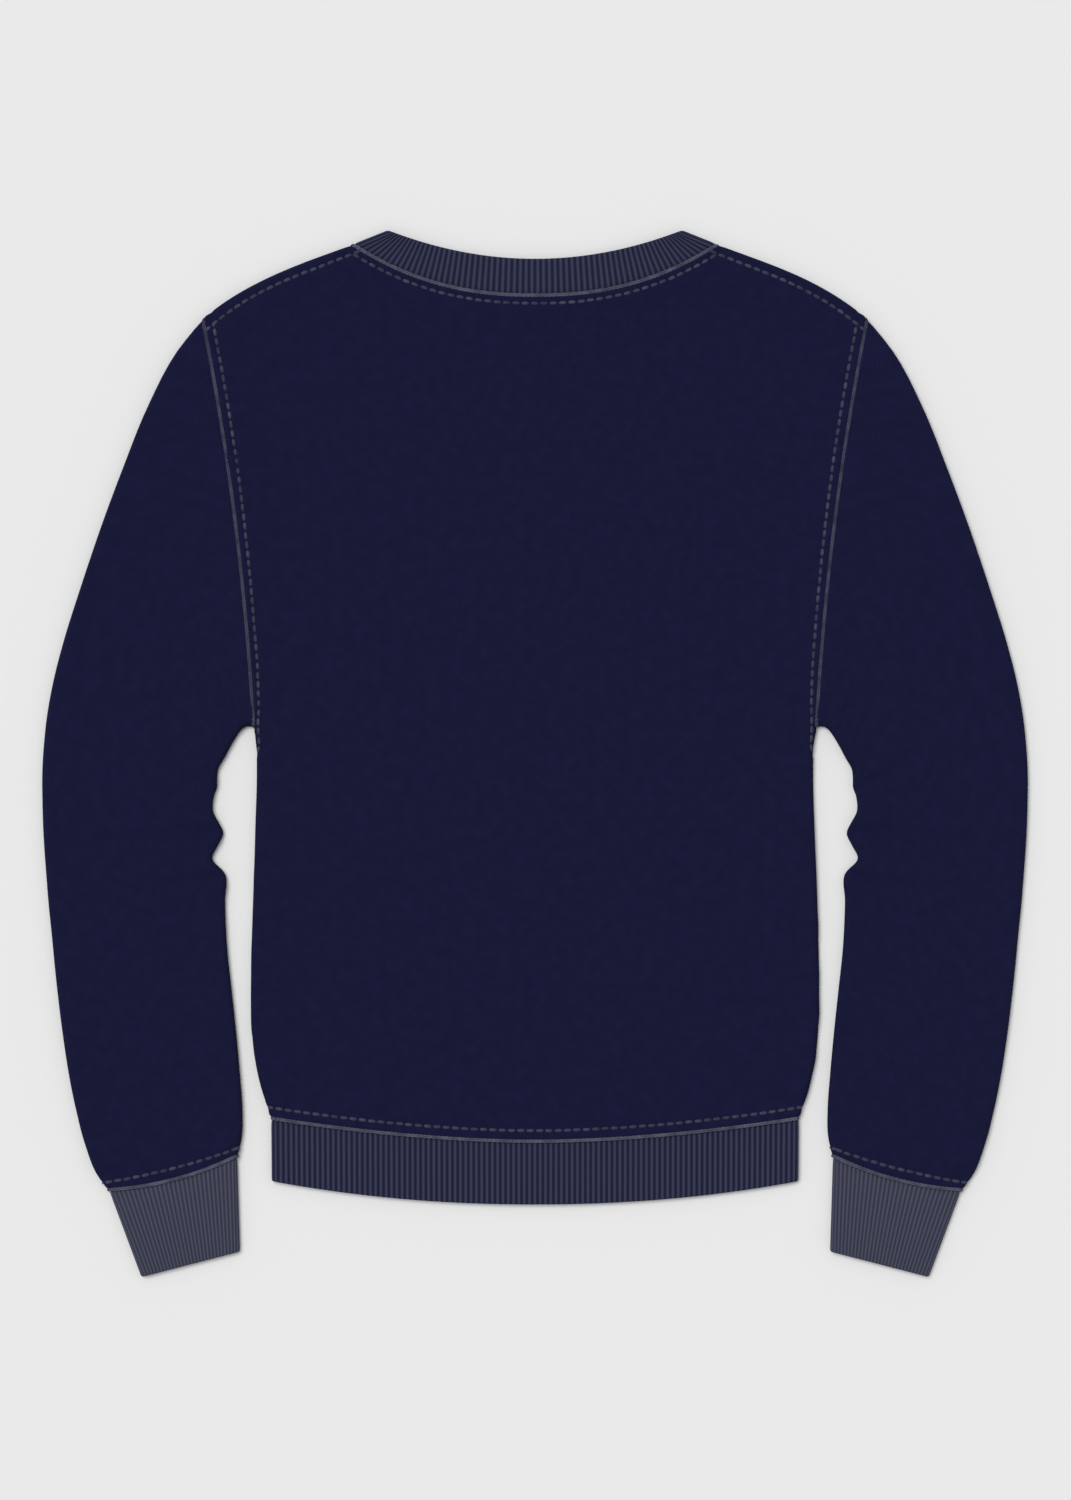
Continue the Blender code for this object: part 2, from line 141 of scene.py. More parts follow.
@dataclass(frozen=True)
class Ripples:
    """An even, shallow unevenness from crossing waves.

    Attributes:
        seed: Fixes the waves.
        shortest: Shortest wavelength.
        longest: Longest wavelength.
        pace: How fast they change along the garment, against across it.
        waves: How many of them cross.
    """

    seed: int
    shortest: float
    longest: float
    pace: float = 1.0
    waves: int = 7

    def at(self, xy: Array) -> Array:
        """Work out heights between about -1 and 1.

        Args:
            xy: Plan points.

        Returns:
            One height for each point.
        """
        random = np.random.default_rng(self.seed)
        x, y = (xy * [1.0, self.pace]).T
        total = np.zeros(len(xy))
        for _ in range(self.waves):
            angle = random.uniform(0.0, math.pi)
            length = random.uniform(self.shortest, self.longest)
            phase = random.uniform(0.0, 2 * math.pi)
            along = x * math.cos(angle) + y * math.sin(angle)
            total += np.sin(2 * math.pi * along / length + phase)
        return total / math.sqrt(self.waves * 2)


# ------------------------------------------------------------------ plan curves
@dataclass(frozen=True)
class Line:
    """A plan line through points, which runs on straight past both ends."""

    points: Array

    @property
    def length(self) -> float:
        """Its whole length."""
        return float(np.linalg.norm(np.diff(self.points, axis=0), axis=1).sum())

    def at(self, distance: Array | float) -> Array:
        """Look up points on the line.

        Args:
            distance: Distances from its start.

        Returns:
            One point for each distance.
        """
        distance = np.atleast_1d(distance)
        runs = np.linalg.norm(np.diff(self.points, axis=0), axis=1)
        passed = np.concatenate([[0.0], np.cumsum(runs)])
        index = np.clip(np.searchsorted(passed, distance) - 1, 0, len(runs) - 1)
        share = ((distance - passed[index]) / runs[index])[:, None]
        return self.points[index] * (1 - share) + self.points[index + 1] * share

    def nearest(self, xy: Array) -> tuple[Array, Array, Array]:
        """Look for the nearest place on the line.

        Args:
            xy: Plan points.

        Returns:
            For each point its distance, the direction from the line to it (or
            the line's left where it lies on the line), and the share of the
            line's length at that place.
        """
        start, step = self.points[:-1], np.diff(self.points, axis=0)
        squared = np.maximum((step ** 2).sum(1), 1e-18)
        share = np.clip(((xy[:, None] - start[None]) * step[None]).sum(2) / squared, 0.0, 1.0)
        away = xy[:, None] - (start[None] + share[..., None] * step[None])
        distances = np.linalg.norm(away, axis=2)
        best = distances.argmin(1)
        rows = np.arange(len(xy))
        distance = distances[rows, best]
        left = unit(np.column_stack([-step[best, 1], step[best, 0]]))
        direction = np.where((distance > 1e-5)[:, None], unit(away[rows, best]), left)
        runs = np.sqrt(squared)
        passed = np.concatenate([[0.0], np.cumsum(runs)])
        return distance, direction, (passed[best] + share[rows, best] * runs[best]) / passed[-1]


def chord(start: Sequence[float], end: Sequence[float], bow: float) -> Line:
    """Draw a shallow arc.

    Args:
        start: Its first point.
        end: Its last point.
        bow: How far its middle lies to the left of the straight line.

    Returns:
        The arc.
    """
    start, end = np.array(start), np.array(end)
    share = np.linspace(0.0, 1.0, 49)[:, None]
    along = end - start
    left = unit(np.array([-along[1], along[0]]))
    return Line(start + along * share + left * (4 * bow * share * (1 - share)))


@dataclass(frozen=True)
class Dish:
    """A curve that rises from its middle to both of its ends.

    Attributes:
        half: Half of its width.
        middle: Y of its middle.
        end: Y of its ends.
        power: 1 for a V, and more for a curve with a flatter middle.
    """

    half: float
    middle: float
    end: float
    power: float

    def __call__(self, x: Array) -> Array:
        """Y over x."""
        share = np.clip(np.abs(x) / self.half, 0.0, 1.0)
        return self.middle + (self.end - self.middle) * share ** self.power

    @property
    def corner(self) -> Array:
        """Its right end."""
        return np.array([self.half, self.end])

    def line(self, start: float, end: float, count: int, raised: float = 0.0) -> Line:
        """Draw a stretch of the curve.

        Args:
            start: Where it starts, as a share of the half width.
            end: Where it ends, the same way.
            count: How many points it has.
            raised: How much further up it lies.

        Returns:
            The stretch.
        """
        x = np.linspace(start, end, count) * self.half
        return Line(np.column_stack([x, self(x) + raised]))


@dataclass(frozen=True)
class GarmentPlan:
    """The laid garment's outline and seams, for its right half."""

    fleece_wall: float = 2.4 * MM
    rib_wall: float = 3.0 * MM
    seam_gap: float = 0.3 * MM
    fleece_height: float = 8.0 * MM
    rib_height: float = 7.0 * MM
    hem_seam: Dish = Dish(0.1979, -0.2903, -0.2730, 1.8)
    hem_edge: Dish = Dish(0.1975, -0.3378, -0.3203, 2.1)
    neck_seam: Dish = Dish(0.1369, 0.3431, 0.3814, 2.32)
    neck_edge: Dish = Dish(0.1106, 0.3706, 0.3922, 2.0)
    v_seam: Dish = Dish(0.1369, 0.2000, 0.3814, 1.0)
    shoulder_point: tuple[float, float] = (0.2488, 0.3258)
    shoulder_bow: float = 6.2 * MM
    shoulder_lean: float = 0.56                    # the arch is fuller towards the sleeve
    underarm: tuple[float, float] = (0.2107, 0.0199)
    armhole_bow: float = 5.4 * MM
    cuff_inner: tuple[float, float] = (0.2211, -0.3731)
    cuff_outer: tuple[float, float] = (0.2950, -0.3922)
    cuff_inset: float = 1.0 * MM
    side: tuple[tuple[float, float], ...] = (      # half width and y, up the side fold
        (0.1979, -0.2730), (0.2011, -0.2634), (0.2048, -0.2522), (0.2084, -0.2373),
        (0.2106, -0.2245), (0.2122, -0.2074), (0.2128, -0.1661), (0.2113, -0.1099),
        (0.2095, -0.0574), (0.2084, -0.0124), (0.2091, 0.0101), (0.2107, 0.0199))
    # Sections across the sleeve, from armhole to cuff: x and y of the inner
    # fold, x and y of the outer fold, and how far the section bows, in mm.
    sleeve: tuple[tuple[float, ...], ...] = (
        (0.2107, 0.0199, 0.2488, 0.3258, 5.4), (0.2152, 0.0203, 0.2701, 0.2986, 3.6),
        (0.2195, 0.0182, 0.2911, 0.2581, 1.8), (0.2233, 0.0133, 0.3085, 0.2147, 0.6),
        (0.2281, 0.0053, 0.3250, 0.1704, 0.0), (0.2326, -0.0033, 0.3409, 0.1233, 0.0),
        (0.2374, -0.0120, 0.3534, 0.0835, 0.0), (0.2381, -0.0190, 0.3609, 0.0543, 0.0),
        (0.2383, -0.0257, 0.3658, 0.0273, 0.0), (0.2405, -0.0318, 0.3682, 0.0041, 0.0),
        (0.2410, -0.0439, 0.3693, -0.0199, 0.0), (0.2368, -0.0519, 0.3691, -0.0371, 0.0),
        (0.2335, -0.0596, 0.3686, -0.0544, 0.0), (0.2378, -0.0694, 0.3676, -0.0724, 0.0),
        (0.2419, -0.0785, 0.3662, -0.0911, 0.0), (0.2320, -0.0905, 0.3646, -0.1114, 0.0),
        (0.2322, -0.1099, 0.3621, -0.1361, 0.0), (0.2308, -0.1436, 0.3588, -0.1699, 0.0),
        (0.2273, -0.1774, 0.3541, -0.2089, 0.0), (0.2241, -0.2074, 0.3492, -0.2411, 0.0),
        (0.2212, -0.2389, 0.3435, -0.2688, 0.0), (0.2192, -0.2674, 0.3370, -0.2934, -1.8),
        (0.2195, -0.2861, 0.3293, -0.3136, -3.8), (0.2224, -0.3008, 0.3204, -0.3267, -5.2))

    def shoulder(self, x: Array) -> Array:
        """Read the shoulder fold, an arch from the neck corner to the sleeve.

        Args:
            x: Where to read it, on either half.

        Returns:
            One y for each x.
        """
        corner, point = self.neck_seam.corner, self.shoulder_point
        share = (np.abs(x) - corner[0]) / (point[0] - corner[0])
        lean = 1.0 + self.shoulder_lean * (2.0 * share - 1.0)
        arch = 4.0 * self.shoulder_bow * share * (1.0 - share) * lean
        return corner[1] + share * (point[1] - corner[1]) + arch

    def side_line(self) -> Line:
        """The body's side fold, from 20 mm below the hem seam to the underarm."""
        half, y = np.array(self.side).T
        at = np.concatenate([[y[0] - 20 * MM], np.linspace(y[0], y[-1], 90)])
        return Line(np.column_stack([spline(at, y, half), at]))

    def over_line(self) -> Line:
        """The upper fold, from the sleeve's top over the shoulder to the band."""
        x = np.linspace(self.shoulder_point[0], self.neck_seam.half, 30)
        shoulder = np.column_stack([x, self.shoulder(x)])
        return Line(np.vstack([self.sleeve[1][2:4], shoulder, self.neck_edge.corner]))

    def armhole(self) -> Line:
        """The armhole seam of one layer, from underarm to shoulder point."""
        return chord(self.underarm, self.shoulder_point, self.armhole_bow)


# ------------------------------------------------------------------ laid tubes
class Zone(Enum):
    """Where a column of a laid tube runs."""

    TOP = 0
    FAR_FOLD = 1
    UNDERSIDE = 2
    NEAR_FOLD = 3


@dataclass(frozen=True)
class Columns:
    """Places round a laid tube, as shares of a layer or angles of a fold."""

    zones: Array
    amounts: Array

    @classmethod
    def around(cls, top: Array, fold_steps: int, under: Array) -> Columns:
        """Columns over the top, round a fold, along the underside and back.

        Args:
            top: Shares of the top layer, from 0 to 1.
            fold_steps: How many steps take a fold round.
            under: Shares of the underside, from 0 to 1.

        Returns:
            The columns, each place once.
        """
        angles = np.linspace(0.0, math.pi, fold_steps + 1)[1:-1]
        parts = (top, angles, under, angles)
        zones = [np.full(len(part), zone.value) for zone, part in zip(Zone, parts)]
        return cls(np.concatenate(zones), np.concatenate(parts))

    def where(self, zone: Zone) -> Array:
        """Which columns are in a zone."""
        return self.zones == zone.value


@dataclass(frozen=True)
class Fan:
    """How ribs run square to a seam and turn only near its ends, to meet a fold.

    Attributes:
        start: How much longer the seam is than the edge at its start.
        end: The same at its end.
        power: How late the ribs turn.
        arms: How many equal lengths, each the mirror image of the last.
    """

    start: float = 0.0
    end: float = 0.0
    power: float = 4.0
    arms: int = 1

    def turned(self, share: Array, length: float) -> Array:
        """Find where ribs that start at places on the seam reach the edge.

        Args:
            share: The places, as shares of the seam.
            length: The seam's length.

        Returns:
            The places on the edge, as shares of it.
        """
        arm = np.minimum(np.floor(share * self.arms), self.arms - 1)
        local = share * self.arms - arm
        flip = arm % 2 == 1
        local = np.where(flip, 1.0 - local, local)
        run = length / self.arms
        moved = (local * run - self.start * (1 - (1 - local) ** self.power)
                 - self.end * local ** self.power) / (run - self.start - self.end)
        return (arm + np.where(flip, 1.0 - moved, moved)) / self.arms


@dataclass(frozen=True)
class Path:
    """Points along the cloth, the way out of it at each, and if they close."""

    points: Array
    out: Array
    closed: bool = True

    @classmethod
    def joined(cls, parts: Sequence[Path], closed: bool = True) -> Path:
        """One path through several."""
        return cls(np.vstack([part.points for part in parts]),
                   np.vstack([part.out for part in parts]), closed)

    def moved(self, amount: Array | float) -> Path:
        """The same path, lifted out of the cloth."""
        return Path(self.points + self.out * amount, self.out, self.closed)

    def pair(self) -> list[Path]:
        """The path, and the same one on the garment's other half."""
        flip = np.array([-1.0, 1.0, 1.0])
        return [self, Path(self.points * flip, self.out * flip, self.closed)]


def laid_ring(upper: Line, lower: Line, height: float, depth: float, columns: Columns,
              skew: tuple[float, float] = (1.0, 1.0)) -> Path:
    """Work out one ring of a laid tube.

    Args:
        upper: Plan line of the top layer, from the near fold to the far one.
        lower: Plan line of the underside, the same way.
        height: Height of the laid tube.
        depth: How far inside the outer face the ring lies.
        columns: The places round the tube.
        skew: How much longer a fold is along each line that meets it aslant.

    Returns:
        The ring.
    """
    radius, amount = height / 2, columns.amounts
    level = radius + (radius - depth) * np.cos(amount)
    reach = radius - (radius - depth) * np.sin(amount)
    plan = np.zeros((len(amount), 2))
    out = np.zeros((len(amount), 3))

    for zone, line, slant, sign in ((Zone.TOP, upper, skew[0], 1.0),
                                    (Zone.UNDERSIDE, lower, skew[1], -1.0)):
        here = columns.where(zone)
        start = radius * slant
        along = start + amount[here] * (line.length - 2 * start)
        plan[here] = line.at(along if sign > 0 else line.length - along)
        level = np.where(here, height - depth if sign > 0 else depth, level)
        out[here] = (0.0, 0.0, sign)

    for zone in (Zone.FAR_FOLD, Zone.NEAR_FOLD):
        near = zone is Zone.NEAR_FOLD
        for line, slant, above in ((upper, skew[0], True), (lower, skew[1], False)):
            half = (amount > math.pi / 2) if near is above else (amount <= math.pi / 2)
            here = columns.where(zone) & half
            inward = reach[here] * slant
            plan[here] = line.at(inward if near else line.length - inward)
            ends = line.at([0.0, 1e-3]) if near else line.at([line.length, line.length - 1e-3])
            out[here, :2] = unit(ends[0] - ends[1]) * np.sin(amount[here])[:, None]
            out[here, 2] = np.cos(amount[here]) * (-1.0 if near else 1.0)
        if near:
            level = np.where(columns.where(zone), height - level, level)
    return Path(np.column_stack([plan, level]), out)


# ------------------------------------------------------------------ mesh making
@dataclass
class Skin:
    """A closed cloth wall: its rows run out along it and back inside it.

    Attributes:
        points: Rows by columns of points. The first outer rows are its face.
        uv: Cloth coordinates in metres, with one more column on a tube.
        outer_rows: How many rows are its face.
        wraps: Whether its columns go round a tube.
        values: Named numbers or vectors for each point.
    """

    points: Array
    uv: Array
    outer_rows: int
    wraps: bool
    values: dict[str, Array] = field(default_factory=dict)

    def quads(self) -> tuple[Array, Array, Array]:
        """List the faces of the wall.

        Returns:
            Corner numbers of each face, in points and in uv, and its finish.
        """
        rows, count = self.points.shape[:2]
        wide = count + 1 if self.wraps else count
        across = count if self.wraps else count - 1
        r, c = (part.ravel() for part in np.meshgrid(np.arange(rows), np.arange(across),
                                                     indexing="ij"))
        below, after = (r + 1) % rows, (c + 1) % count
        faces = np.stack([r * count + c, r * count + after,
                          below * count + after, below * count + c], axis=1)
        uv = np.stack([r * wide + c, r * wide + c + 1,
                       below * wide + c + 1, below * wide + c], axis=1)
        finish = (r >= self.outer_rows).astype(int)
        if not self.wraps:
            r = np.arange(self.outer_rows - 1)
            back = rows - 1 - r
            rims = [np.stack([row * count + column for row in order], axis=1)
                    for column, order in ((0, (r, r + 1, back - 1, back)),
                                          (count - 1, (r + 1, r, back, back - 1)))]
            faces, uv = np.vstack([faces] + rims), np.vstack([uv] + rims)
            finish = np.concatenate([finish, np.zeros(2 * len(r), int)])
        return faces, uv, finish

    def to_object(self, name: str, face: Material, inside: Material) -> Item:
        """Make the mesh object.

        Args:
            name: The piece's name.
            face: Finish of its outer side and its edges.
            inside: Finish of its inner side.

        Returns:
            The object, in the scene's collection.
        """
        faces, uv_ids, finish = self.quads()
        flat = self.points.reshape(-1, 3)
        a, b, c, d = (flat[faces[:, corner]] for corner in range(4))
        volume = sum(np.einsum("ij,ij->i", a, np.cross(p, q)) for p, q in ((b, c), (c, d))).sum()
        if volume < 0:
            faces, uv_ids = faces[:, ::-1], uv_ids[:, ::-1]
        mesh = bpy.data.meshes.new(name)
        mesh.from_pydata(flat.tolist(), [], faces.tolist())
        coordinates = self.uv.reshape(-1, 2)[uv_ids.ravel()]
        mesh.uv_layers.new(name="cloth").data.foreach_set(
            "uv", coordinates.astype(np.float32).ravel())
        for key, values in self.values.items():
            kind, slot = ("FLOAT_VECTOR", "vector") if values.ndim == 3 else ("FLOAT", "value")
            mesh.attributes.new(key, kind, "POINT").data.foreach_set(
                slot, values.astype(np.float32).ravel())
        for material in (face, inside):
            mesh.materials.append(material)
        mesh.polygons.foreach_set("material_index", finish.astype(np.int32))
        mesh.shade_smooth()
        mesh.set_sharp_from_angle(angle=SHARP_ANGLE)
        return placed(mesh)


def placed(data: bpy.types.ID) -> Item:
    """Make an object at the scene's origin.

    Args:
        data: Its mesh, light or camera, whose name it takes.

    Returns:
        The object.
    """
    item = bpy.data.objects.new(data.name, data)
    bpy.context.scene.collection.objects.link(item)
    return item


# ------------------------------------------------------------------ node trees
def srgb(code: str) -> tuple[float, float, float, float]:
    """Turn a hex sRGB colour into a linear one."""
    values = [int(code[i:i + 2], 16) / 255 for i in (1, 3, 5)]
    linear = [v / 12.92 if v <= 0.04045 else ((v + 0.055) / 1.055) ** 2.4 for v in values]
    return (*linear, 1.0)


def add_node(tree: Tree, kind: str, *values: object, **settings: object) -> Socket:
    """Add a node with its settings, and fill or link its inputs.

    Args:
        tree: The tree to add it to.
        kind: The node's type name.
        values: Values, or sockets to link, for its first inputs in their
            order, or else one dict of them by input name or number.
        settings: Properties of the node.

    Returns:
        The first output that the node has in use.
    """
    made = tree.nodes.new(kind)
    for key, value in settings.items():
        setattr(made, key, value)
    in_use = {socket.name: socket for socket in reversed(made.inputs) if socket.enabled}
    named = bool(values) and isinstance(values[0], dict)
    for key, value in (values[0] if named else dict(enumerate(values))).items():
        socket = made.inputs[key] if isinstance(key, int) else in_use[key]
        if isinstance(value, Socket):
            tree.links.new(value, socket)
        else:
            socket.default_value = value
    return next(socket for socket in made.outputs if socket.enabled)


def new_tree(name: str, sizes: dict[str, float]) -> tuple[Tree, dict[str, Socket]]:
    """Start a geometry tree with an input for each size and one for its finish.

    Args:
        name: The tree's name.
        sizes: Name and default of each size. A whole number is a seed.

    Returns:
        The tree, and the sockets of its inputs by name.
    """
    tree = bpy.data.node_groups.new(name, "GeometryNodeTree")
    for way in ("INPUT", "OUTPUT"):
        tree.interface.new_socket("Geometry", in_out=way, socket_type="NodeSocketGeometry")
    for label, default in sizes.items():
        kind = "NodeSocketInt" if isinstance(default, int) else "NodeSocketFloat"
        tree.interface.new_socket(label, in_out="INPUT", socket_type=kind).default_value = default
    tree.interface.new_socket("Finish", in_out="INPUT", socket_type="NodeSocketMaterial")
    given = tree.nodes.new("NodeGroupInput").outputs
    return tree, {socket.name: socket for socket in given if socket.name}


def end_tree(tree: Tree, shape: Socket, finish: Socket) -> Tree:
    """End a tree with smooth, plain meshes in one material.

    Args:
        tree: The tree.
        shape: Its geometry.
        finish: The material.

    Returns:
        The tree.
    """
    smoothed = add_node(tree, "GeometryNodeSetShadeSmooth", shape)
    made = add_node(tree, "GeometryNodeRealizeInstances", smoothed)
    dressed = add_node(tree, "GeometryNodeSetMaterial", {"Geometry": made, "Material": finish})
    tree.links.new(dressed, tree.nodes.new("NodeGroupOutput").inputs[0])
    return tree


def apply_tree(item: Item, tree: Tree, values: dict[str, object]) -> None:
    """Run a geometry tree on an object and keep the result as its mesh.

    Args:
        item: The object.
        tree: The geometry tree.
        values: What its named inputs are given.
    """
    modifier = item.modifiers.new(tree.name, "NODES")
    modifier.node_group = tree
    for socket in tree.interface.items_tree:
        if socket.in_out == "INPUT" and socket.name in values:
            modifier[socket.identifier] = values[socket.name]
    graph = bpy.context.evaluated_depsgraph_get()
    mesh = bpy.data.meshes.new_from_object(item.evaluated_get(graph), depsgraph=graph)
    item.modifiers.remove(modifier)
    old, item.data = item.data, mesh
    mesh.name = item.name
    bpy.data.meshes.remove(old)


def rib_relief_tree() -> Tree:
    """Build the tree that presses the valleys of a rib into a plain wall.

    It reads three values of each point: rib, which counts the ribs round the
    piece, fade, which takes the relief out, and out, the way out of the cloth.
    It keeps how far a point is up its rib as the attribute crest.

    Returns:
        The geometry tree.
    """
    tree, given = new_tree("Rib relief", {"Depth": 1.0 * MM, "Crest width": 0.5})
    add = partial(add_node, tree)
    rib, fade, out = (
        add("GeometryNodeInputNamedAttribute", name, data_type=kind)
        for name, kind in (("rib", "FLOAT"), ("fade", "FLOAT"), ("out", "FLOAT_VECTOR")))
    wave = add(MATH, rib, 2 * math.pi, operation="MULTIPLY")
    wave = add(MATH, wave, operation="COSINE")
    low = add(MATH, -0.4, given["Crest width"], operation="SUBTRACT")
    crest = add("ShaderNodeMapRange", {"Value": wave, "From Min": low, "From Max": 0.9},
                interpolation_type="SMOOTHSTEP")
    depth = add(MATH, crest, 1.0, operation="SUBTRACT")
    for factor in (given["Depth"], fade):
        depth = add(MATH, depth, factor, operation="MULTIPLY")
    offset = add("ShaderNodeVectorMath", {0: out, "Scale": depth}, operation="SCALE")
    stored = add("GeometryNodeStoreNamedAttribute",
                 {"Geometry": given["Geometry"], "Name": "crest", "Value": crest},
                 data_type="FLOAT", domain="POINT")
    pressed = add("GeometryNodeSetPosition", {"Geometry": stored, "Offset": offset})
    return end_tree(tree, pressed, given["Finish"])


# Real sewing thread is about 0.5 mm thick, too fine to show here, so a stitch is drawn 2.9 mm wide
# at its middle and a seam's chain about 3.1 mm wide, as bold as the seams look from afar.
THREAD_FLATNESS = 0.40      # a sewn thread lies pressed into the cloth
STITCH_STEPS = 10           # points in one pitch of a topstitch row
STITCH_LAST = 8             # the last of them that the stitch covers


def topstitch_tree() -> Tree:
    """Build the tree of rows of single stitches that bend with the cloth.

    Each path is cut into short lengths of thread. Each length rises in a low
    arch, dips into the cloth at both ends and strays a little to one side.

    Returns:
        The geometry tree.
    """
    tree, given = new_tree("Topstitch", {"Pitch": 7.0 * MM, "Width": 2.9 * MM,
                                         "Rise": 0.35 * MM, "Wander": 0.1 * MM, "Seed": 1})
    add = partial(add_node, tree)
    curve = add("GeometryNodeMeshToCurve", given["Geometry"])
    step = add(MATH, given["Pitch"], STITCH_STEPS, operation="DIVIDE")
    fine = add("GeometryNodeResampleCurve", {"Curve": curve, "Length": step}, mode="LENGTH")
    index = add("GeometryNodeInputIndex")
    place = add(MATH, index, STITCH_STEPS, operation="MODULO")
    number = add(MATH, index, STITCH_STEPS, operation="DIVIDE")
    number = add(MATH, number, operation="FLOOR")
    arch = add(MATH, place, math.pi / STITCH_LAST, operation="MULTIPLY")
    arch = add(MATH, arch, operation="SINE")
    level = add(MATH, arch, 1.6, -0.6, operation="MULTIPLY_ADD")
    level = add(MATH, level, given["Rise"], operation="MULTIPLY")
    out = add("GeometryNodeInputNamedAttribute", "out", data_type="FLOAT_VECTOR")
    lift = add("ShaderNodeVectorMath", {0: out, "Scale": level}, operation="SCALE")
    tangent = add("GeometryNodeInputTangent")
    side = add("ShaderNodeVectorMath", out, tangent, operation="CROSS_PRODUCT")
    least = add(MATH, given["Wander"], -1.0, operation="MULTIPLY")
    stray = add("FunctionNodeRandomValue",
                {"Min": least, "Max": given["Wander"], "ID": number, "Seed": given["Seed"]},
                data_type="FLOAT")
    shift = add("ShaderNodeVectorMath", {0: side, "Scale": stray}, operation="SCALE")
    shift = add("ShaderNodeVectorMath", shift, lift, operation="ADD")
    moved = add("GeometryNodeSetPosition", {"Geometry": fine, "Offset": shift})
    kept = add("GeometryNodeStoreNamedAttribute",
               {"Geometry": moved, "Name": "arch", "Value": arch},
               data_type="FLOAT", domain="POINT")
    rows = add("GeometryNodeCurveToMesh", kept)
    gap = add("FunctionNodeCompare", {"A": place, "B": STITCH_LAST + 0.5}, data_type="FLOAT",
              operation="GREATER_THAN")
    lengths = add("GeometryNodeDeleteGeometry", rows, gap, domain="POINT")
    threads = add("GeometryNodeMeshToCurve", lengths)
    threads = add("GeometryNodeSetCurveNormal", {"Curve": threads, "Normal": out}, mode="FREE")
    taper = add("GeometryNodeInputNamedAttribute", "arch", data_type="FLOAT")
    taper = add(MATH, taper, 0.5, operation="POWER")
    taper = add(MATH, taper, 0.6, 0.4, operation="MULTIPLY_ADD")
    radius = add(MATH, given["Width"], 0.5, operation="MULTIPLY")
    section = add("GeometryNodeCurvePrimitiveCircle", {"Resolution": 6, "Radius": radius},
                  mode="RADIUS")
    section = add("GeometryNodeTransform",
                  {"Geometry": section, "Scale": (THREAD_FLATNESS, 1.0, 1.0)})
    body = add("GeometryNodeCurveToMesh", {"Curve": threads, "Profile Curve": section,
                                           "Scale": taper, "Fill Caps": True})
    return end_tree(tree, body, given["Finish"])


def chain_tree() -> Tree:
    """Build the tree of a chain of loops, each laid over the end of the last.

    Returns:
        The geometry tree.
    """
    tree, given = new_tree("Chain seam", {"Pitch": 3.2 * MM, "Length": 3.6 * MM,
                                          "Width": 3.1 * MM, "Seed": 1})
    add = partial(add_node, tree)
    across, radius = (add(MATH, given["Width"], share, operation="MULTIPLY")
                      for share in (0.48, 0.26))
    loop, section = (
        add("GeometryNodeCurvePrimitiveCircle", {"Resolution": count, "Radius": size},
            mode="RADIUS")
        for count, size in ((10, 0.5), (5, radius)))
    shape = add("ShaderNodeCombineXYZ", given["Length"], across, 1.0)
    for change in ({"Scale": shape}, {"Rotation": (0.0, math.radians(-7.0), 0.0)}):
        loop = add("GeometryNodeTransform", {"Geometry": loop, **change})
    link = add("GeometryNodeCurveToMesh", {"Curve": loop, "Profile Curve": section})
    link = add("GeometryNodeTransform", {"Geometry": link, "Scale": (1.0, 1.0, THREAD_FLATNESS)})
    curve = add("GeometryNodeMeshToCurve", given["Geometry"])
    points = add("GeometryNodeResampleCurve", {"Curve": curve, "Length": given["Pitch"]},
                 mode="LENGTH")
    out = add("GeometryNodeInputNamedAttribute", "out", data_type="FLOAT_VECTOR")
    along = add("FunctionNodeAlignRotationToVector", {"Vector": add("GeometryNodeInputTangent")},
                axis="X", pivot_axis="AUTO")
    facing = add("FunctionNodeAlignRotationToVector", {"Rotation": along, "Vector": out},
                 axis="Z", pivot_axis="X")
    size = add("FunctionNodeRandomValue", {"Min": 0.97, "Max": 1.03, "Seed": given["Seed"]},
               data_type="FLOAT")
    chain = add("GeometryNodeInstanceOnPoints", {"Points": points, "Instance": link,
                                                 "Rotation": facing, "Scale": size})
    return end_tree(tree, chain, given["Finish"])


# ------------------------------------------------------------------ finishes
@dataclass(frozen=True)
class Textile:
    """A matt textile between two tones, with its own pattern of tone and height.

    Attributes:
        name: The material's name.
        deep: Colour of its hollows, a painted shade where its tone follows its height.
        light: Colour of its heights, painted light the same way.
        roughness: Of its fibres.
        sheen: Weight of the soft light at its rim.
        bump: Strength of its relief.
        relief: Height of its relief.
    """

    name: str
    deep: str
    light: str
    roughness: float
    sheen: float
    bump: float
    relief: float

    def pattern(self, add: Callable[..., Socket]) -> tuple[Socket, Socket]:
        """Add the nodes of the surface's pattern.

        Args:
            add: Adds a node to the material, as add_node does.

        Returns:
            Its tone and its height, both from 0 to about 1.
        """
        raise NotImplementedError

    def material(self) -> Material:
        """Build the material.

        Returns:
            The material.
        """
        made = bpy.data.materials.new(self.name)
        made.use_nodes = True
        tree = made.node_tree
        add = partial(add_node, tree)
        inputs = tree.nodes["Principled BSDF"].inputs
        tone, height = self.pattern(add)
        colour = add("ShaderNodeMix", {"Factor": tone, "A": srgb(self.deep),
                                       "B": srgb(self.light)}, data_type="RGBA")
        bump = add("ShaderNodeBump", {"Strength": self.bump, "Height": height,
                                      "Distance": self.relief})
        tree.links.new(colour, inputs["Base Color"])
        tree.links.new(bump, inputs["Normal"])
        for key, value in (("Roughness", self.roughness), ("Specular IOR Level", 0.06),
                           ("Sheen Weight", self.sheen), ("Sheen Roughness", 0.6),
                           ("Sheen Tint", srgb("#5F6390"))):
            inputs[key].default_value = value
        return made


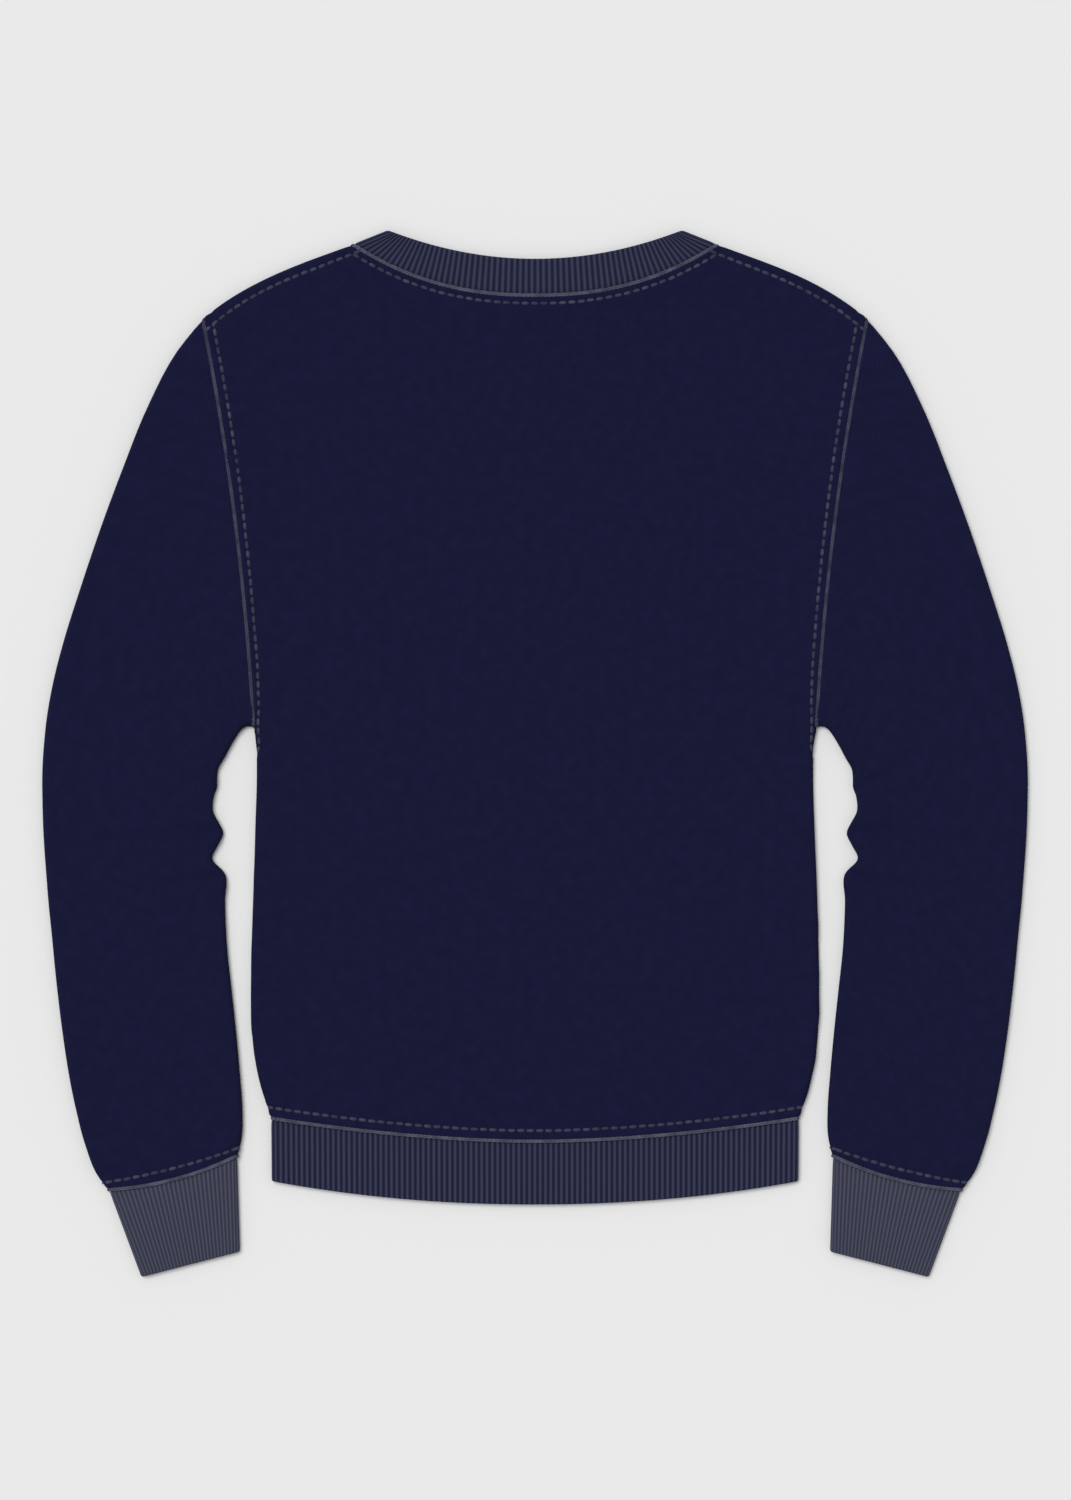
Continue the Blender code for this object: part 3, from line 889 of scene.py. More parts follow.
@dataclass(frozen=True)
class Jersey(Textile):
    """Combed cotton and polyester jersey: the smooth, matt face of a fleece.

    Its rows of V stitches run along the garment. A real wale is about 0.8 mm
    wide, too fine to show here, so the stitches are drawn at twice that.
    """

    name: str = "fleece_jersey_face"
    deep: str = "#12132F"
    light: str = "#1F2043"
    roughness: float = 0.92
    sheen: float = 0.04
    bump: float = 0.55
    relief: float = 0.3 * MM
    wale: float = 1.6 * MM
    course: float = 1.3 * MM
    fuzz: float = 0.5 * MM
    heather: float = 9.0 * MM

    def pattern(self, add: Callable[..., Socket]) -> tuple[Socket, Socket]:
        """Knit V stitches under a faint heather and fuzz, with painted shade in the grooves of the
        stitches and fuzz.
        """
        cloth = add("ShaderNodeUVMap", uv_map="cloth")
        x, y = add("ShaderNodeSeparateXYZ", cloth).node.outputs[:2]
        across = add(MATH, x, 1.0 / self.wale, operation="MULTIPLY")
        arm = add(MATH, across, 0.5, operation="PINGPONG")
        row = add(MATH, y, 1.0 / self.course, arm, operation="MULTIPLY_ADD")
        row = add(MATH, row, 0.5, operation="PINGPONG")
        stitch = arm
        for operation, *amounts in (("SUBTRACT", 0.25), ("ABSOLUTE",),
                                    ("MULTIPLY_ADD", -4.0, 1.0), ("MULTIPLY", row),
                                    ("MULTIPLY", 2.0)):
            stitch = add(MATH, stitch, *amounts, operation=operation)
        heather, fibres = (
            add("ShaderNodeTexNoise", {"Vector": cloth, "Scale": 1.0 / size, "Detail": detail})
            for size, detail in ((self.heather, 3.0), (self.fuzz, 2.0)))
        # The stitches and the fuzz darken the tone where they sink, a painted shade; the heather
        # is the yarn's own uneven tone.
        tone = add(MATH, heather, 0.3, operation="MULTIPLY")
        for part, weight in ((fibres, 0.3), (stitch, 0.4)):
            tone = add(MATH, part, weight, tone, operation="MULTIPLY_ADD")
        tone = add("ShaderNodeMapRange", {"Value": tone, "From Min": 0.3, "From Max": 0.7})
        return tone, add(MATH, fibres, 0.5, stitch, operation="MULTIPLY_ADD")


@dataclass(frozen=True)
class BrushedBack(Textile):
    """The brushed, fluffy inner side of the fleece: matt, soft and uneven."""

    name: str = "fleece_brushed_back"
    deep: str = "#171831"
    light: str = "#272A48"
    roughness: float = 1.0
    sheen: float = 0.1
    bump: float = 0.6
    relief: float = 0.8 * MM
    tuft: float = 1.6 * MM

    def pattern(self, add: Callable[..., Socket]) -> tuple[Socket, Socket]:
        """Small uneven tufts, with uneven tone and painted shade in the hollows between them."""
        cloth = add("ShaderNodeUVMap", uv_map="cloth")
        tufts = add("ShaderNodeTexNoise", {"Vector": cloth, "Scale": 1.0 / self.tuft,
                                           "Detail": 6.0, "Roughness": 0.7})
        # the same noise is tone and height: the tufts' hollows are painted darker as shade
        return tufts, tufts


@dataclass(frozen=True)
class RibKnit(Textile):
    """Cotton and elastane rib: crests painted pale as light, over valleys painted dark as shade.

    The stitches lie along each crest like a plait, drawn at their real size.
    """

    roughness: float = 0.9
    sheen: float = 0.08
    bump: float = 0.5
    relief: float = 0.5 * MM
    stitch: float = 2.0 * MM
    fuzz: float = 0.7 * MM

    def pattern(self, add: Callable[..., Socket]) -> tuple[Socket, Socket]:
        """Plaits of stitches on the crests that the relief tree marked, painted light on the
        crests and their stitches and painted shade in the valleys.
        """
        cloth = add("ShaderNodeUVMap", uv_map="cloth")
        crest, rib = (
            add("ShaderNodeAttribute", attribute_name=name).node.outputs["Fac"]
            for name in ("crest", "rib"))
        along = add("ShaderNodeSeparateXYZ", cloth).node.outputs["Y"]
        side = add(MATH, rib, 1.0, operation="PINGPONG")
        plait = add(MATH, along, 1.0 / self.stitch, side, operation="MULTIPLY_ADD")
        plait = add(MATH, plait, 0.5, operation="PINGPONG")
        fibres = add("ShaderNodeTexNoise",
                     {"Vector": cloth, "Scale": 1.0 / self.fuzz, "Detail": 3.0})
        # painted light: the crests and the stitches standing up on them are paler, and the valleys
        # keep the dark tone as painted shade
        painted_crest_light = add(MATH, plait, 0.5, 0.72, operation="MULTIPLY_ADD")
        painted_crest_light = add(MATH, fibres, 0.3, painted_crest_light, operation="MULTIPLY_ADD")
        tone = add(MATH, crest, painted_crest_light, operation="MULTIPLY", use_clamp=True)
        return tone, add(MATH, fibres, 0.4, plait, operation="MULTIPLY_ADD")


@dataclass(frozen=True)
class Thread(Textile):
    """Spun polyester sewing thread: softly glossy, with a visible twist.

    Its tone drifts from stitch to stitch, as where the thread sits tight or loose.
    """

    roughness: float = 0.65
    sheen: float = 0.05
    bump: float = 0.4
    relief: float = 0.2 * MM
    twist: float = 0.9 * MM
    drift: float = 9.0 * MM

    def pattern(self, add: Callable[..., Socket]) -> tuple[Socket, Socket]:
        """Diagonal plies and a slow drift of tone."""
        place = add("ShaderNodeTexCoord").node.outputs["Object"]
        plies = add("ShaderNodeTexWave",
                    {"Vector": place, "Scale": 1.0 / (self.twist * 2 * math.pi)},
                    bands_direction="DIAGONAL").node.outputs["Fac"]
        tone = add("ShaderNodeTexNoise",
                   {"Vector": place, "Scale": 1.0 / self.drift, "Detail": 1.0})
        return add("ShaderNodeMapRange", {"Value": tone, "From Min": 0.3, "From Max": 0.7}), plies


class Finishes:
    """Every material of the garment."""

    def __init__(self) -> None:
        """Build them all."""
        self.jersey = Jersey().material()
        self.brushed = BrushedBack().material()
        # Each rib's first colour is painted shade for its valleys, and its second is painted light
        # for its crests.
        self.rib = RibKnit("navy_rib_knit", "#1D1E39", "#3A3C50").material()
        self.cuff_rib = RibKnit("grey_navy_cuff_rib_knit", "#34364A", "#4B4D5B").material()
        self.thread = Thread("grey_sewing_thread", "#3F4152", "#575968").material()
        self.dark_thread = Thread("dark_grey_sewing_thread", "#303244", "#444658").material()


# ------------------------------------------------------------------ cloth pieces
class Layer(Enum):
    """Which layer of the laid garment a panel is."""

    UPPER = 1
    LOWER = -1


@dataclass(frozen=True)
class Crease:
    """A soft trough in the cloth, with low ridges beside it.

    Attributes:
        line: Its plan points, from its deep end to where it runs out.
        depth: Depth at the deep end.
        width: Distance from its middle to its flanks.
        ridge: Height of the ridges, as a share of the depth.
        fade: Share of its length over which it runs out.
    """

    line: tuple[tuple[float, float], ...]
    depth: float
    width: float
    ridge: float = 0.35
    fade: float = 0.85

    def sink(self, xy: Array) -> Array:
        """Work out how far it takes the cloth down.

        Args:
            xy: Plan points.

        Returns:
            One depth for each point.
        """
        distance, _, place = Line(np.array(self.line)).nearest(xy)
        ridges = self.ridge * hollow(distance - 2.0 * self.width, 0.9 * self.width)
        left = smooth((1.0 - place) / self.fade)
        return self.depth * (hollow(distance, self.width) - ridges) * left


# Offsets of a grid's lines from a fold, from a seam, and from a fold with a row beside it. Then
# those from a sleeve's armhole, from a rib band's seam and from a neck corner.
FOLD_STEPS = tuple(4.0 * MM * (1 - math.sin(angle))
                   for angle in np.linspace(math.pi / 2, 0.0, 7))
SEAM_STEPS = tuple(np.array((0.0, 0.5, 1.1, 1.8, 2.6, 3.5, 4.4, 5.2, 5.9, 6.6, 7.3, 8.0, 8.8,
                             10.0, 12.0, 15.0)) * MM)
EDGE_STEPS = FOLD_STEPS + tuple(np.array((4.8, 5.6, 6.3, 7.0, 7.7, 8.5, 9.6, 11.5, 14.0,
                                          17.0)) * MM)
ARMHOLE_STEPS = np.array((0.0, 0.6, 1.3, 2.2, 3.4)) * MM
BAND_STEPS = np.array((0.0, 0.7, 1.5, 2.5)) * MM
CORNER_STEPS = np.array((6.5, 4.2, 3.1, 2.1, 1.2, 0.5, 0.0)) * MM


@dataclass
class BodyPanel:
    """The back or the front of the body, between hem, sides, armholes and neck."""

    plan: GarmentPlan
    layer: Layer
    creases: tuple[Crease, ...] = ()
    dip: float = 1.8 * MM
    dip_reach: float = 45 * MM
    seam_sink: float = 0.7 * MM
    seam_width: float = 1.7 * MM
    row_sink: float = 0.45 * MM
    row_width: float = 1.5 * MM
    allowance_puff: float = 0.3 * MM
    hem_row: float = 7.9 * MM
    neck_row: float = 6.0 * MM
    shoulder_row: tuple[float, float] = (6.9 * MM, 8.5 * MM)     # at the neck and at the sleeve
    shoulder_row_end: float = 1 * MM    # how far before the shoulder point it ends
    overrun: float = 6 * MM             # how far rows are drawn past a fold or under a band
    armhole_row: tuple[tuple[float, float], ...] = (   # share of the armhole and inset, in mm
        (-0.02, 3.3), (0.02, 3.9), (0.07, 4.9), (0.31, 6.1), (0.70, 7.1), (1.03, 7.1))
    armhole_row_end: tuple[tuple[float, float], ...] = (   # from the underarm, in mm
        (-1.3, -20.6), (-2.7, -18.6), (-3.6, -15.9), (-4.0, -11.0))
    unevenness: float = 0.22 * MM
    uneven_waves: Ripples = Ripples(23, 70 * MM, 190 * MM)
    calm: float = 8 * MM                # this near to a seam the cloth lies even
    calm_fade: float = 30 * MM          # over this much more it becomes uneven
    gather: float = 0.75 * MM
    gather_waves: Ripples = Ripples(11, 13 * MM, 30 * MM, 0.12)
    gather_reach: float = 40 * MM
    gather_fade: float = 4 * MM         # over this much the gathers begin
    step: float = 4.4 * MM

    @property
    def neck(self) -> Dish:
        """The neck seam of this layer."""
        return self.plan.neck_seam if self.layer is Layer.UPPER else self.plan.v_seam

    def neck_line(self) -> Line:
        """Half of the neck seam, from the middle to the corner."""
        return self.neck.line(0.0, 1.0, 40)

    def hem_line(self) -> Line:
        """Half of the hem seam, from the middle to the side."""
        return self.plan.hem_seam.line(0.0, 1.0, 30)

    def top(self, x: Array) -> Array:
        """Y of the panel's upper boundary."""
        return np.where(np.abs(x) <= self.neck.half, self.neck(x), self.plan.shoulder(x))

    def row_lines(self) -> dict[str, Line]:
        """Draw the rows of topstitching on the panel's right half.

        Returns:
            One line for each seam, each from the middle or from below.
        """
        plan = self.plan
        past = self.overrun / plan.hem_seam.half
        hem = plan.hem_seam.line(0.0, 1.0 + past, 60, self.hem_row)
        armhole = plan.armhole()
        shares, insets = np.array(self.armhole_row).T
        share = np.linspace(shares[0], shares[-1], 60)
        inset = spline(share, shares, insets) * MM
        arm = Line(np.vstack([np.array(plan.underarm) + np.array(self.armhole_row_end) * MM,
                              armhole.at(share * armhole.length)
                              - np.column_stack([inset, 0 * inset])]))
        neck = self.neck_line()
        points = neck.at(neck.length * np.linspace(0.0, 1.06, 60))
        side = unit(np.gradient(points, axis=0))
        down = np.column_stack([side[:, 1], -side[:, 0]])
        rows = {"hem": hem, "armhole": arm, "neck": Line(points + down * self.neck_row)}
        if self.layer is Layer.UPPER:
            ends = (self.neck.half - self.overrun,
                    plan.shoulder_point[0] - self.shoulder_row_end)
            x = np.linspace(*ends, 40)
            y = plan.shoulder(x)
            inset = np.interp(x, ends, self.shoulder_row) * np.hypot(1, np.gradient(y, x))
            rows["shoulder"] = Line(np.column_stack([x, y - inset]))
        return rows

    def sink(self, xy: Array, right: Array) -> Array:
        """How far seams, stitching, creases and gathers take the cloth in.

        Args:
            xy: Plan points.
            right: The same points, mirrored to the right half.

        Returns:
            One depth for each point.
        """
        seams = (self.hem_line(), self.plan.armhole(), self.neck_line())
        nearest, row = (np.min([line.nearest(right)[0] for line in lines], axis=0)
                        for lines in (seams, self.row_lines().values()))
        depth = self.seam_sink * hollow(nearest, self.seam_width)
        band = np.sin(math.pi * np.clip(nearest / self.neck_row, 0.0, 1.0)) ** 2
        depth += self.row_sink * hollow(row, self.row_width) - self.allowance_puff * band
        if self.layer is Layer.UPPER:
            above = right[:, 1] - self.plan.hem_seam(right[:, 0]) - self.hem_row
            fade = smooth(above / self.gather_fade) * smooth(1 - above / self.gather_reach)
            depth += self.gather * fade * self.gather_waves.at(xy)
            free = smooth((nearest - self.calm) / self.calm_fade)
            depth += self.unevenness * free * self.uneven_waves.at(xy)
            for crease in self.creases:
                depth += crease.sink(xy)
        return depth

    def surface(self, xy: Array) -> Path:
        """Lay plan points on the panel's outer face.

        Args:
            xy: Plan points.

        Returns:
            The points of the face, with the way out of the cloth at each.
        """
        plan = self.plan
        radius = plan.fleece_height / 2
        right = np.column_stack([np.abs(xy[:, 0]), xy[:, 1]])
        side, side_in, _ = plan.side_line().nearest(right)
        over, over_in, _ = plan.over_line().nearest(right)
        distance = np.minimum(side, over)
        inward = np.where((side < over)[:, None], side_in, over_in)
        inward[:, 0] *= np.where(xy[:, 0] < 0, -1.0, 1.0)
        bend = np.arcsin(np.clip(1.0 - distance / radius, 0.0, 1.0))
        level = radius + plan.seam_gap / 2 + (radius - plan.seam_gap / 2) * np.cos(bend)
        out = np.column_stack([-inward * np.sin(bend)[:, None], np.cos(bend)])
        if self.layer is Layer.LOWER:
            level = plan.fleece_height - level
            out[:, 2] *= -1.0
        else:
            edges = [distance, right[:, 1] - plan.hem_seam(right[:, 0]),
                     self.top(right[:, 0]) - right[:, 1], plan.armhole().nearest(right)[0]]
            level -= self.dip * smooth(np.min(edges, axis=0) / self.dip_reach)
        face = Path(np.column_stack([xy, level]), out, closed=False)
        return face.moved(-self.sink(xy, right)[:, None])

    def plan_grid(self) -> Array:
        """Spread the panel's plan points, close together at seams, rows and folds.

        Returns:
            The points, as rows from hem to shoulder.
        """
        plan = self.plan
        side, armhole = Line(plan.side_line().points[1:]), plan.armhole()
        below = graded(side.length, self.step, SEAM_STEPS, EDGE_STEPS[:11:2])
        beside = graded(armhole.length, self.step, FOLD_STEPS[1:], EDGE_STEPS)
        right = np.vstack([side.at(below), armhole.at(beside) - [plan.seam_gap / 2, 0.0]])
        inset = EDGE_STEPS[-1]
        corner = plan.neck_seam.half / (right[-1, 0] - inset)
        near = 1 - CORNER_STEPS / plan.neck_seam.half
        shares = np.concatenate([np.linspace(0.0, near[0], 28)[:-1] * corner, near * corner,
                                 np.linspace(corner, 1.0, 20)[1:]])
        x = np.array([np.concatenate([shares * (half - inset),
                                      half - np.array(EDGE_STEPS[-2::-1])])
                      for half in right[:, 0]])
        hem = plan.hem_seam(x[0]) - plan.hem_seam.end + plan.seam_gap / 2
        top = self.top(x[-1]) - plan.shoulder_point[1] - plan.seam_gap / 2
        share = ((right[:, 1] - right[0, 1]) / (right[-1, 1] - right[0, 1]))[:, None]
        y = right[:, 1, None] + (1 - share) * hem + share * top
        half = np.stack([x, y], axis=2)
        return np.concatenate([(half * [-1.0, 1.0])[:, :0:-1], half], axis=1)

    def build(self, name: str, finishes: Finishes) -> Item:
        """Make the panel.

        Args:
            name: The piece's name.
            finishes: The garment's materials.

        Returns:
            The object.
        """
        grid = self.plan_grid()
        face = self.surface(grid.reshape(-1, 2))
        walls = [part.points.reshape(*grid.shape[:2], 3)
                 for part in (face, face.moved(-self.plan.fleece_wall))]
        skin = Skin(np.concatenate([walls[0], walls[1][::-1]]),
                    np.concatenate([grid, grid[::-1]]), len(grid), False)
        return skin.to_object(name, finishes.jersey, finishes.brushed)


@dataclass
class Sleeve:
    """A sleeve, laid flat as a tube from armhole to cuff seam."""

    plan: GarmentPlan
    dip: float = 1.6 * MM
    dip_share: float = 0.3
    seam_sink: float = 0.7 * MM
    seam_width: float = 1.7 * MM
    cuff_row: float = 5.9 * MM
    cuff_row_bow: float = 1.7 * MM      # how much further up it is in the sleeve's middle
    row_sink: float = 0.45 * MM
    row_width: float = 1.5 * MM
    deepest: float = 2.9 * MM           # no trough on top goes deeper
    under_share: float = 0.6            # how much deeper the seams lie underneath
    armhole_fade: float = 30 * MM       # over this much from the armhole the top sags
    cuff_calm: float = 8 * MM           # this near to the cuff it lies even
    cuff_fade: float = 25 * MM          # over this much more it sags
    unevenness: float = 0.22 * MM
    uneven_waves: Ripples = Ripples(41, 60 * MM, 150 * MM)
    gather: float = 0.9 * MM
    gather_waves: Ripples = Ripples(43, 11 * MM, 24 * MM, 0.1)
    gather_reach: float = 44 * MM
    gather_fade: float = 5 * MM         # over this much the gathers begin
    step: float = 3.6 * MM
    # Creases from the inner fold: the row of the sleeve's table that each starts on, then in mm
    # how far it runs across and slants towards the cuff, its depth at the fold and its width.
    creases: tuple[tuple[float, ...], ...] = (
        (0.9, 74, 46, 0.8, 7.0), (3.2, 52, 8, 0.6, 6.0), (6.3, 60, -22, 0.8, 5.0),
        (8.2, 78, -9, 1.3, 4.6), (12.0, 104, 6, 2.3, 4.8), (15.0, 82, 2, 2.3, 4.2),
        (16.2, 55, 17, 1.0, 5.0), (17.6, 42, 20, 0.5, 6.5))

    def stations(self) -> Array:
        """Distance down the sleeve of each row of the plan's table."""
        table = np.array(self.plan.sleeve)
        inner, outer = table[:, :2], table[:, 2:4]
        steps = sum(np.linalg.norm(np.diff(line, axis=0), axis=1)
                    for line in ((inner + outer) / 2, inner)) / 2
        return np.concatenate([[0.0], np.cumsum(steps)])

    def sections(self, at: Array) -> list[Line]:
        """Draw plan lines across the sleeve.

        Args:
            at: Their distances down the sleeve.

        Returns:
            The lines, each from the inner fold to the outer one.
        """
        rows = spline(at, self.stations(), np.array(self.plan.sleeve))
        rows[:, [0, 2]] += (self.plan.seam_gap / 2 * (at <= 0.0))[:, None]
        return [chord(row[:2], row[2:4], row[4] * MM) for row in rows]

    def row_height(self, share: Array) -> Array:
        """Distance of the topstitching above the cuff seam, across the sleeve."""
        return self.cuff_row + 4.0 * self.cuff_row_bow * share * (1.0 - share)

    def sink(self, along: float, across: Array, share: Array, flat: Array) -> Array:
        """How far seams, creases and gathers take one section in.

        Args:
            along: The section's distance down the sleeve.
            across: Distance of each point from the inner fold.
            share: The same as a share of the section.
            flat: 1 on the top, 0 on the underside and in between on the folds.

        Returns:
            One depth for each point.
        """
        stations = self.stations()
        left = stations[-1] - along
        depth = self.seam_sink * (hollow(along, self.seam_width) + hollow(left, self.seam_width))
        depth = depth + self.row_sink * hollow(left - self.row_height(share), self.row_width)
        ease = (smooth(along / self.armhole_fade)
                * smooth((left - self.cuff_calm) / self.cuff_fade))
        top = ease * self.dip * smooth(np.minimum(share, 1.0 - share) / self.dip_share)
        place = np.column_stack([across, np.full_like(across, along)])
        top += ease * self.unevenness * self.uneven_waves.at(place)
        fade = (smooth((left - self.cuff_row) / self.gather_fade)
                * smooth(1 - left / self.gather_reach))
        top += self.gather * fade * self.gather_waves.at(place)
        for row, *sizes in self.creases:
            reach, drift, deep, width = np.array(sizes) * MM
            start = np.interp(row, np.arange(len(stations)), stations)
            line = ((0.0, start), (reach * 0.5, start + drift * 0.35), (reach, start + drift))
            top += Crease(line, deep, width).sink(place)
        return depth + flat * top

    def rings(self, at: Array, depth: float, columns: Columns) -> list[Path]:
        """Work out rings of the sleeve.

        Args:
            at: Their distances down the sleeve.
            depth: How far inside its face they lie.
            columns: The places round the sleeve.

        Returns:
            The rings.
        """
        made = []
        for along, section in zip(at, self.sections(at)):
            ring = laid_ring(section, section, self.plan.fleece_height, depth, columns)
            start, end = section.points[[0, -1]]
            across = (ring.points[:, :2] - start) @ unit(end - start)
            share = np.clip(across / section.length, 0.0, 1.0)
            sunk = self.sink(along, across, share, smooth(ring.out[:, 2]))
            under = 1.0 + self.under_share * smooth(-ring.out[:, 2])
            sunk = np.minimum(sunk, self.deepest) * under
            made.append(ring.moved(-sunk[:, None]))
        return made

    def build(self, name: str, finishes: Finishes, side: float) -> Item:
        """Make the sleeve.

        Args:
            name: The piece's name.
            finishes: The garment's materials.
            side: 1 for the right sleeve, -1 for the left one.

        Returns:
            The object.
        """
        at = graded(self.stations()[-1], self.step, ARMHOLE_STEPS, SEAM_STEPS)
        edge = np.array((0.0, 0.008, 0.018, 0.03))
        top = np.concatenate([edge, np.linspace(0.045, 0.955, 42), 1 - edge[::-1]])
        columns = Columns.around(top, 12, np.linspace(0.0, 1.0, 22))
        face, inner = (np.array([ring.points for ring in self.rings(at, depth, columns)])
                       for depth in (0.0, self.plan.fleece_wall))
        u = run_lengths(np.concatenate([face, face[:, :1]], axis=1))
        uv = np.stack([u, -np.broadcast_to(at[:, None], u.shape)], axis=2)
        skin = Skin(np.concatenate([face, inner[::-1]]) * [side, 1.0, 1.0],
                    np.concatenate([uv, uv[::-1]]), len(at), True)
        return skin.to_object(name, finishes.jersey, finishes.brushed)


@dataclass
class RibBand:
    """A doubled rib, laid flat, from the seam that holds it to its folded edge.

    Attributes:
        seams: Plan lines of its seam, top layer and underside.
        edges: Plan lines of its folded edge, the same way.
        pitch: Distance from rib to rib.
        seam_skew: How much longer a fold is along each seam line.
        edge_skew: The same along each edge line.
        fans: How the ribs of the top layer and of the underside turn.
    """

    plan: GarmentPlan
    seams: tuple[Line, Line]
    edges: tuple[Line, Line]
    pitch: float = 4.0 * MM
    seam_skew: tuple[float, float] = (1.0, 1.0)
    edge_skew: tuple[float, float] = (1.0, 1.0)
    fans: tuple[Fan, Fan] = (Fan(), Fan())
    relief: float = 0.9 * MM
    crest_width: float = 0.45
    seam_sink: float = 0.9 * MM
    seam_width: float = 2.0 * MM
    relief_fade: float = 3 * MM                         # over this much from the seam it grows
    relief_lead: float = 0.35                           # how far it has come at the seam itself
    relief_share: tuple[float, float] = (0.55, 0.45)    # underneath, and what the top adds to it
    points_per_rib: int = 8
    row_step: float = 4.0 * MM

    def columns(self) -> tuple[Columns, Array]:
        """Share out the ribs round the band.

        Returns:
            The places round the band, and how many ribs come before each.
        """
        radius = self.plan.rib_height / 2
        lengths = [(seam.length + edge.length) / 2 - 2 * radius
                   for seam, edge in zip(self.seams, self.edges)] + [math.pi * radius]
        upper, under, turn = (max(int(round(length / self.pitch)), 1) for length in lengths)
        steps = self.points_per_rib
        columns = Columns.around(np.linspace(0.0, 1.0, upper * steps + 1), turn * steps,
                                 np.linspace(0.0, 1.0, under * steps + 1))
        ribs = np.zeros(len(columns.amounts))
        start = 0
        for zone, count in zip(Zone, (upper, turn, under, turn)):
            here = columns.where(zone)
            whole = math.pi if zone in (Zone.FAR_FOLD, Zone.NEAR_FOLD) else 1.0
            ribs[here] = start + columns.amounts[here] * (count / whole)
            start += count
        return columns, ribs

    def edge_columns(self, columns: Columns) -> Columns:
        """Find the places round the edge that the ribs run to.

        Args:
            columns: The places round the seam that they start from.

        Returns:
            The places round the edge.
        """
        amounts = columns.amounts.copy()
        for zone, fan, seam in zip((Zone.TOP, Zone.UNDERSIDE), self.fans, self.seams):
            here = columns.where(zone)
            amounts[here] = fan.turned(amounts[here], seam.length)
        return Columns(columns.zones, amounts)

    def build(self, name: str, finish: Material, relief: Tree, side: float = 1.0) -> Item:
        """Make the band.

        Args:
            name: The piece's name.
            finish: Its material.
            relief: The geometry tree that raises its ribs.
            side: 1, or -1 for the mirror image.

        Returns:
            The object.
        """
        columns, ribs = self.columns()
        edge_columns = self.edge_columns(columns)
        wall, height = self.plan.rib_wall, self.plan.rib_height
        roll = wall / 2
        seam_middle, edge_middle = (lines[0].at(lines[0].length / 2)
                                    for lines in (self.seams, self.edges))
        width = float(np.linalg.norm(edge_middle - seam_middle))
        flat = graded(width - roll, self.row_step, BAND_STEPS, (0.0,))
        places = [(along, 0.0) for along in flat]
        places += [(width - roll + roll * math.sin(a), roll - roll * math.cos(a))
                   for a in np.linspace(0.0, math.pi, 9)[1:-1]]
        inner = [(along, wall) for along in (flat[-1], width / 2, 0.0)]
        rows, outs, fades = [], [], []
        for along, depth in places + inner:
            first = laid_ring(*self.seams, height, depth, columns, self.seam_skew)
            last = laid_ring(*self.edges, height, depth, edge_columns, self.edge_skew)
            share = along / width
            out = unit(first.out * (1 - share) + last.out * share)
            points = first.points * (1 - share) + last.points * share
            fade = np.zeros(len(points))
            if depth < roll:
                points = points - out * self.seam_sink * float(hollow(along, self.seam_width))
                fade += float(smooth(self.relief_lead + along / self.relief_fade))
            rows.append(points)
            outs.append(out)
            least, more = self.relief_share
            fades.append(fade * (least + more * smooth(0.5 + out[:, 2])))
        points, outs = (np.array(part) * [side, 1.0, 1.0] for part in (rows, outs))
        u = run_lengths(np.concatenate([points[:1], points[:1, :1]], axis=1))
        u = np.broadcast_to(u, (len(rows), u.shape[1]))
        v = np.broadcast_to(np.array([along for along, _ in places + inner])[:, None], u.shape)
        values = {"rib": np.broadcast_to(ribs, points.shape[:2]), "out": outs,
                  "fade": np.array(fades)}
        item = Skin(points, np.stack([u, v], axis=2), len(places), True,
                    values).to_object(name, finish, finish)
        apply_tree(item, relief, {"Depth": self.relief, "Crest width": self.crest_width,
                                  "Finish": finish})
        return item


def hem_band(plan: GarmentPlan) -> RibBand:
    """Lay out the hem rib: a tube below the body.

    Args:
        plan: The garment's plan.

    Returns:
        The band.
    """
    seam = plan.hem_seam.line(-1.0, 1.0, 81, -plan.seam_gap / 2)
    edge = plan.hem_edge.line(-1.0, 1.0, 81)
    return RibBand(plan, (seam, seam), (edge, edge))


def cuff_band(plan: GarmentPlan) -> RibBand:
    """Lay out the right cuff: a tube below the sleeve, whose ribs run closer together.

    Args:
        plan: The garment's plan.

    Returns:
        The band.
    """
    row = np.array(plan.sleeve[-1])
    across = unit(row[2:4] - row[:2])
    down = np.array([across[1], -across[0]]) * plan.seam_gap
    inset = across * plan.cuff_inset
    seam = chord(row[:2] + inset + down, row[2:4] - inset + down, row[4] * MM)
    edge = chord(plan.cuff_inner, plan.cuff_outer, 0.0)
    return RibBand(plan, (seam, seam), (edge, edge), pitch=3.0 * MM, relief=0.7 * MM,
                   crest_width=0.6)


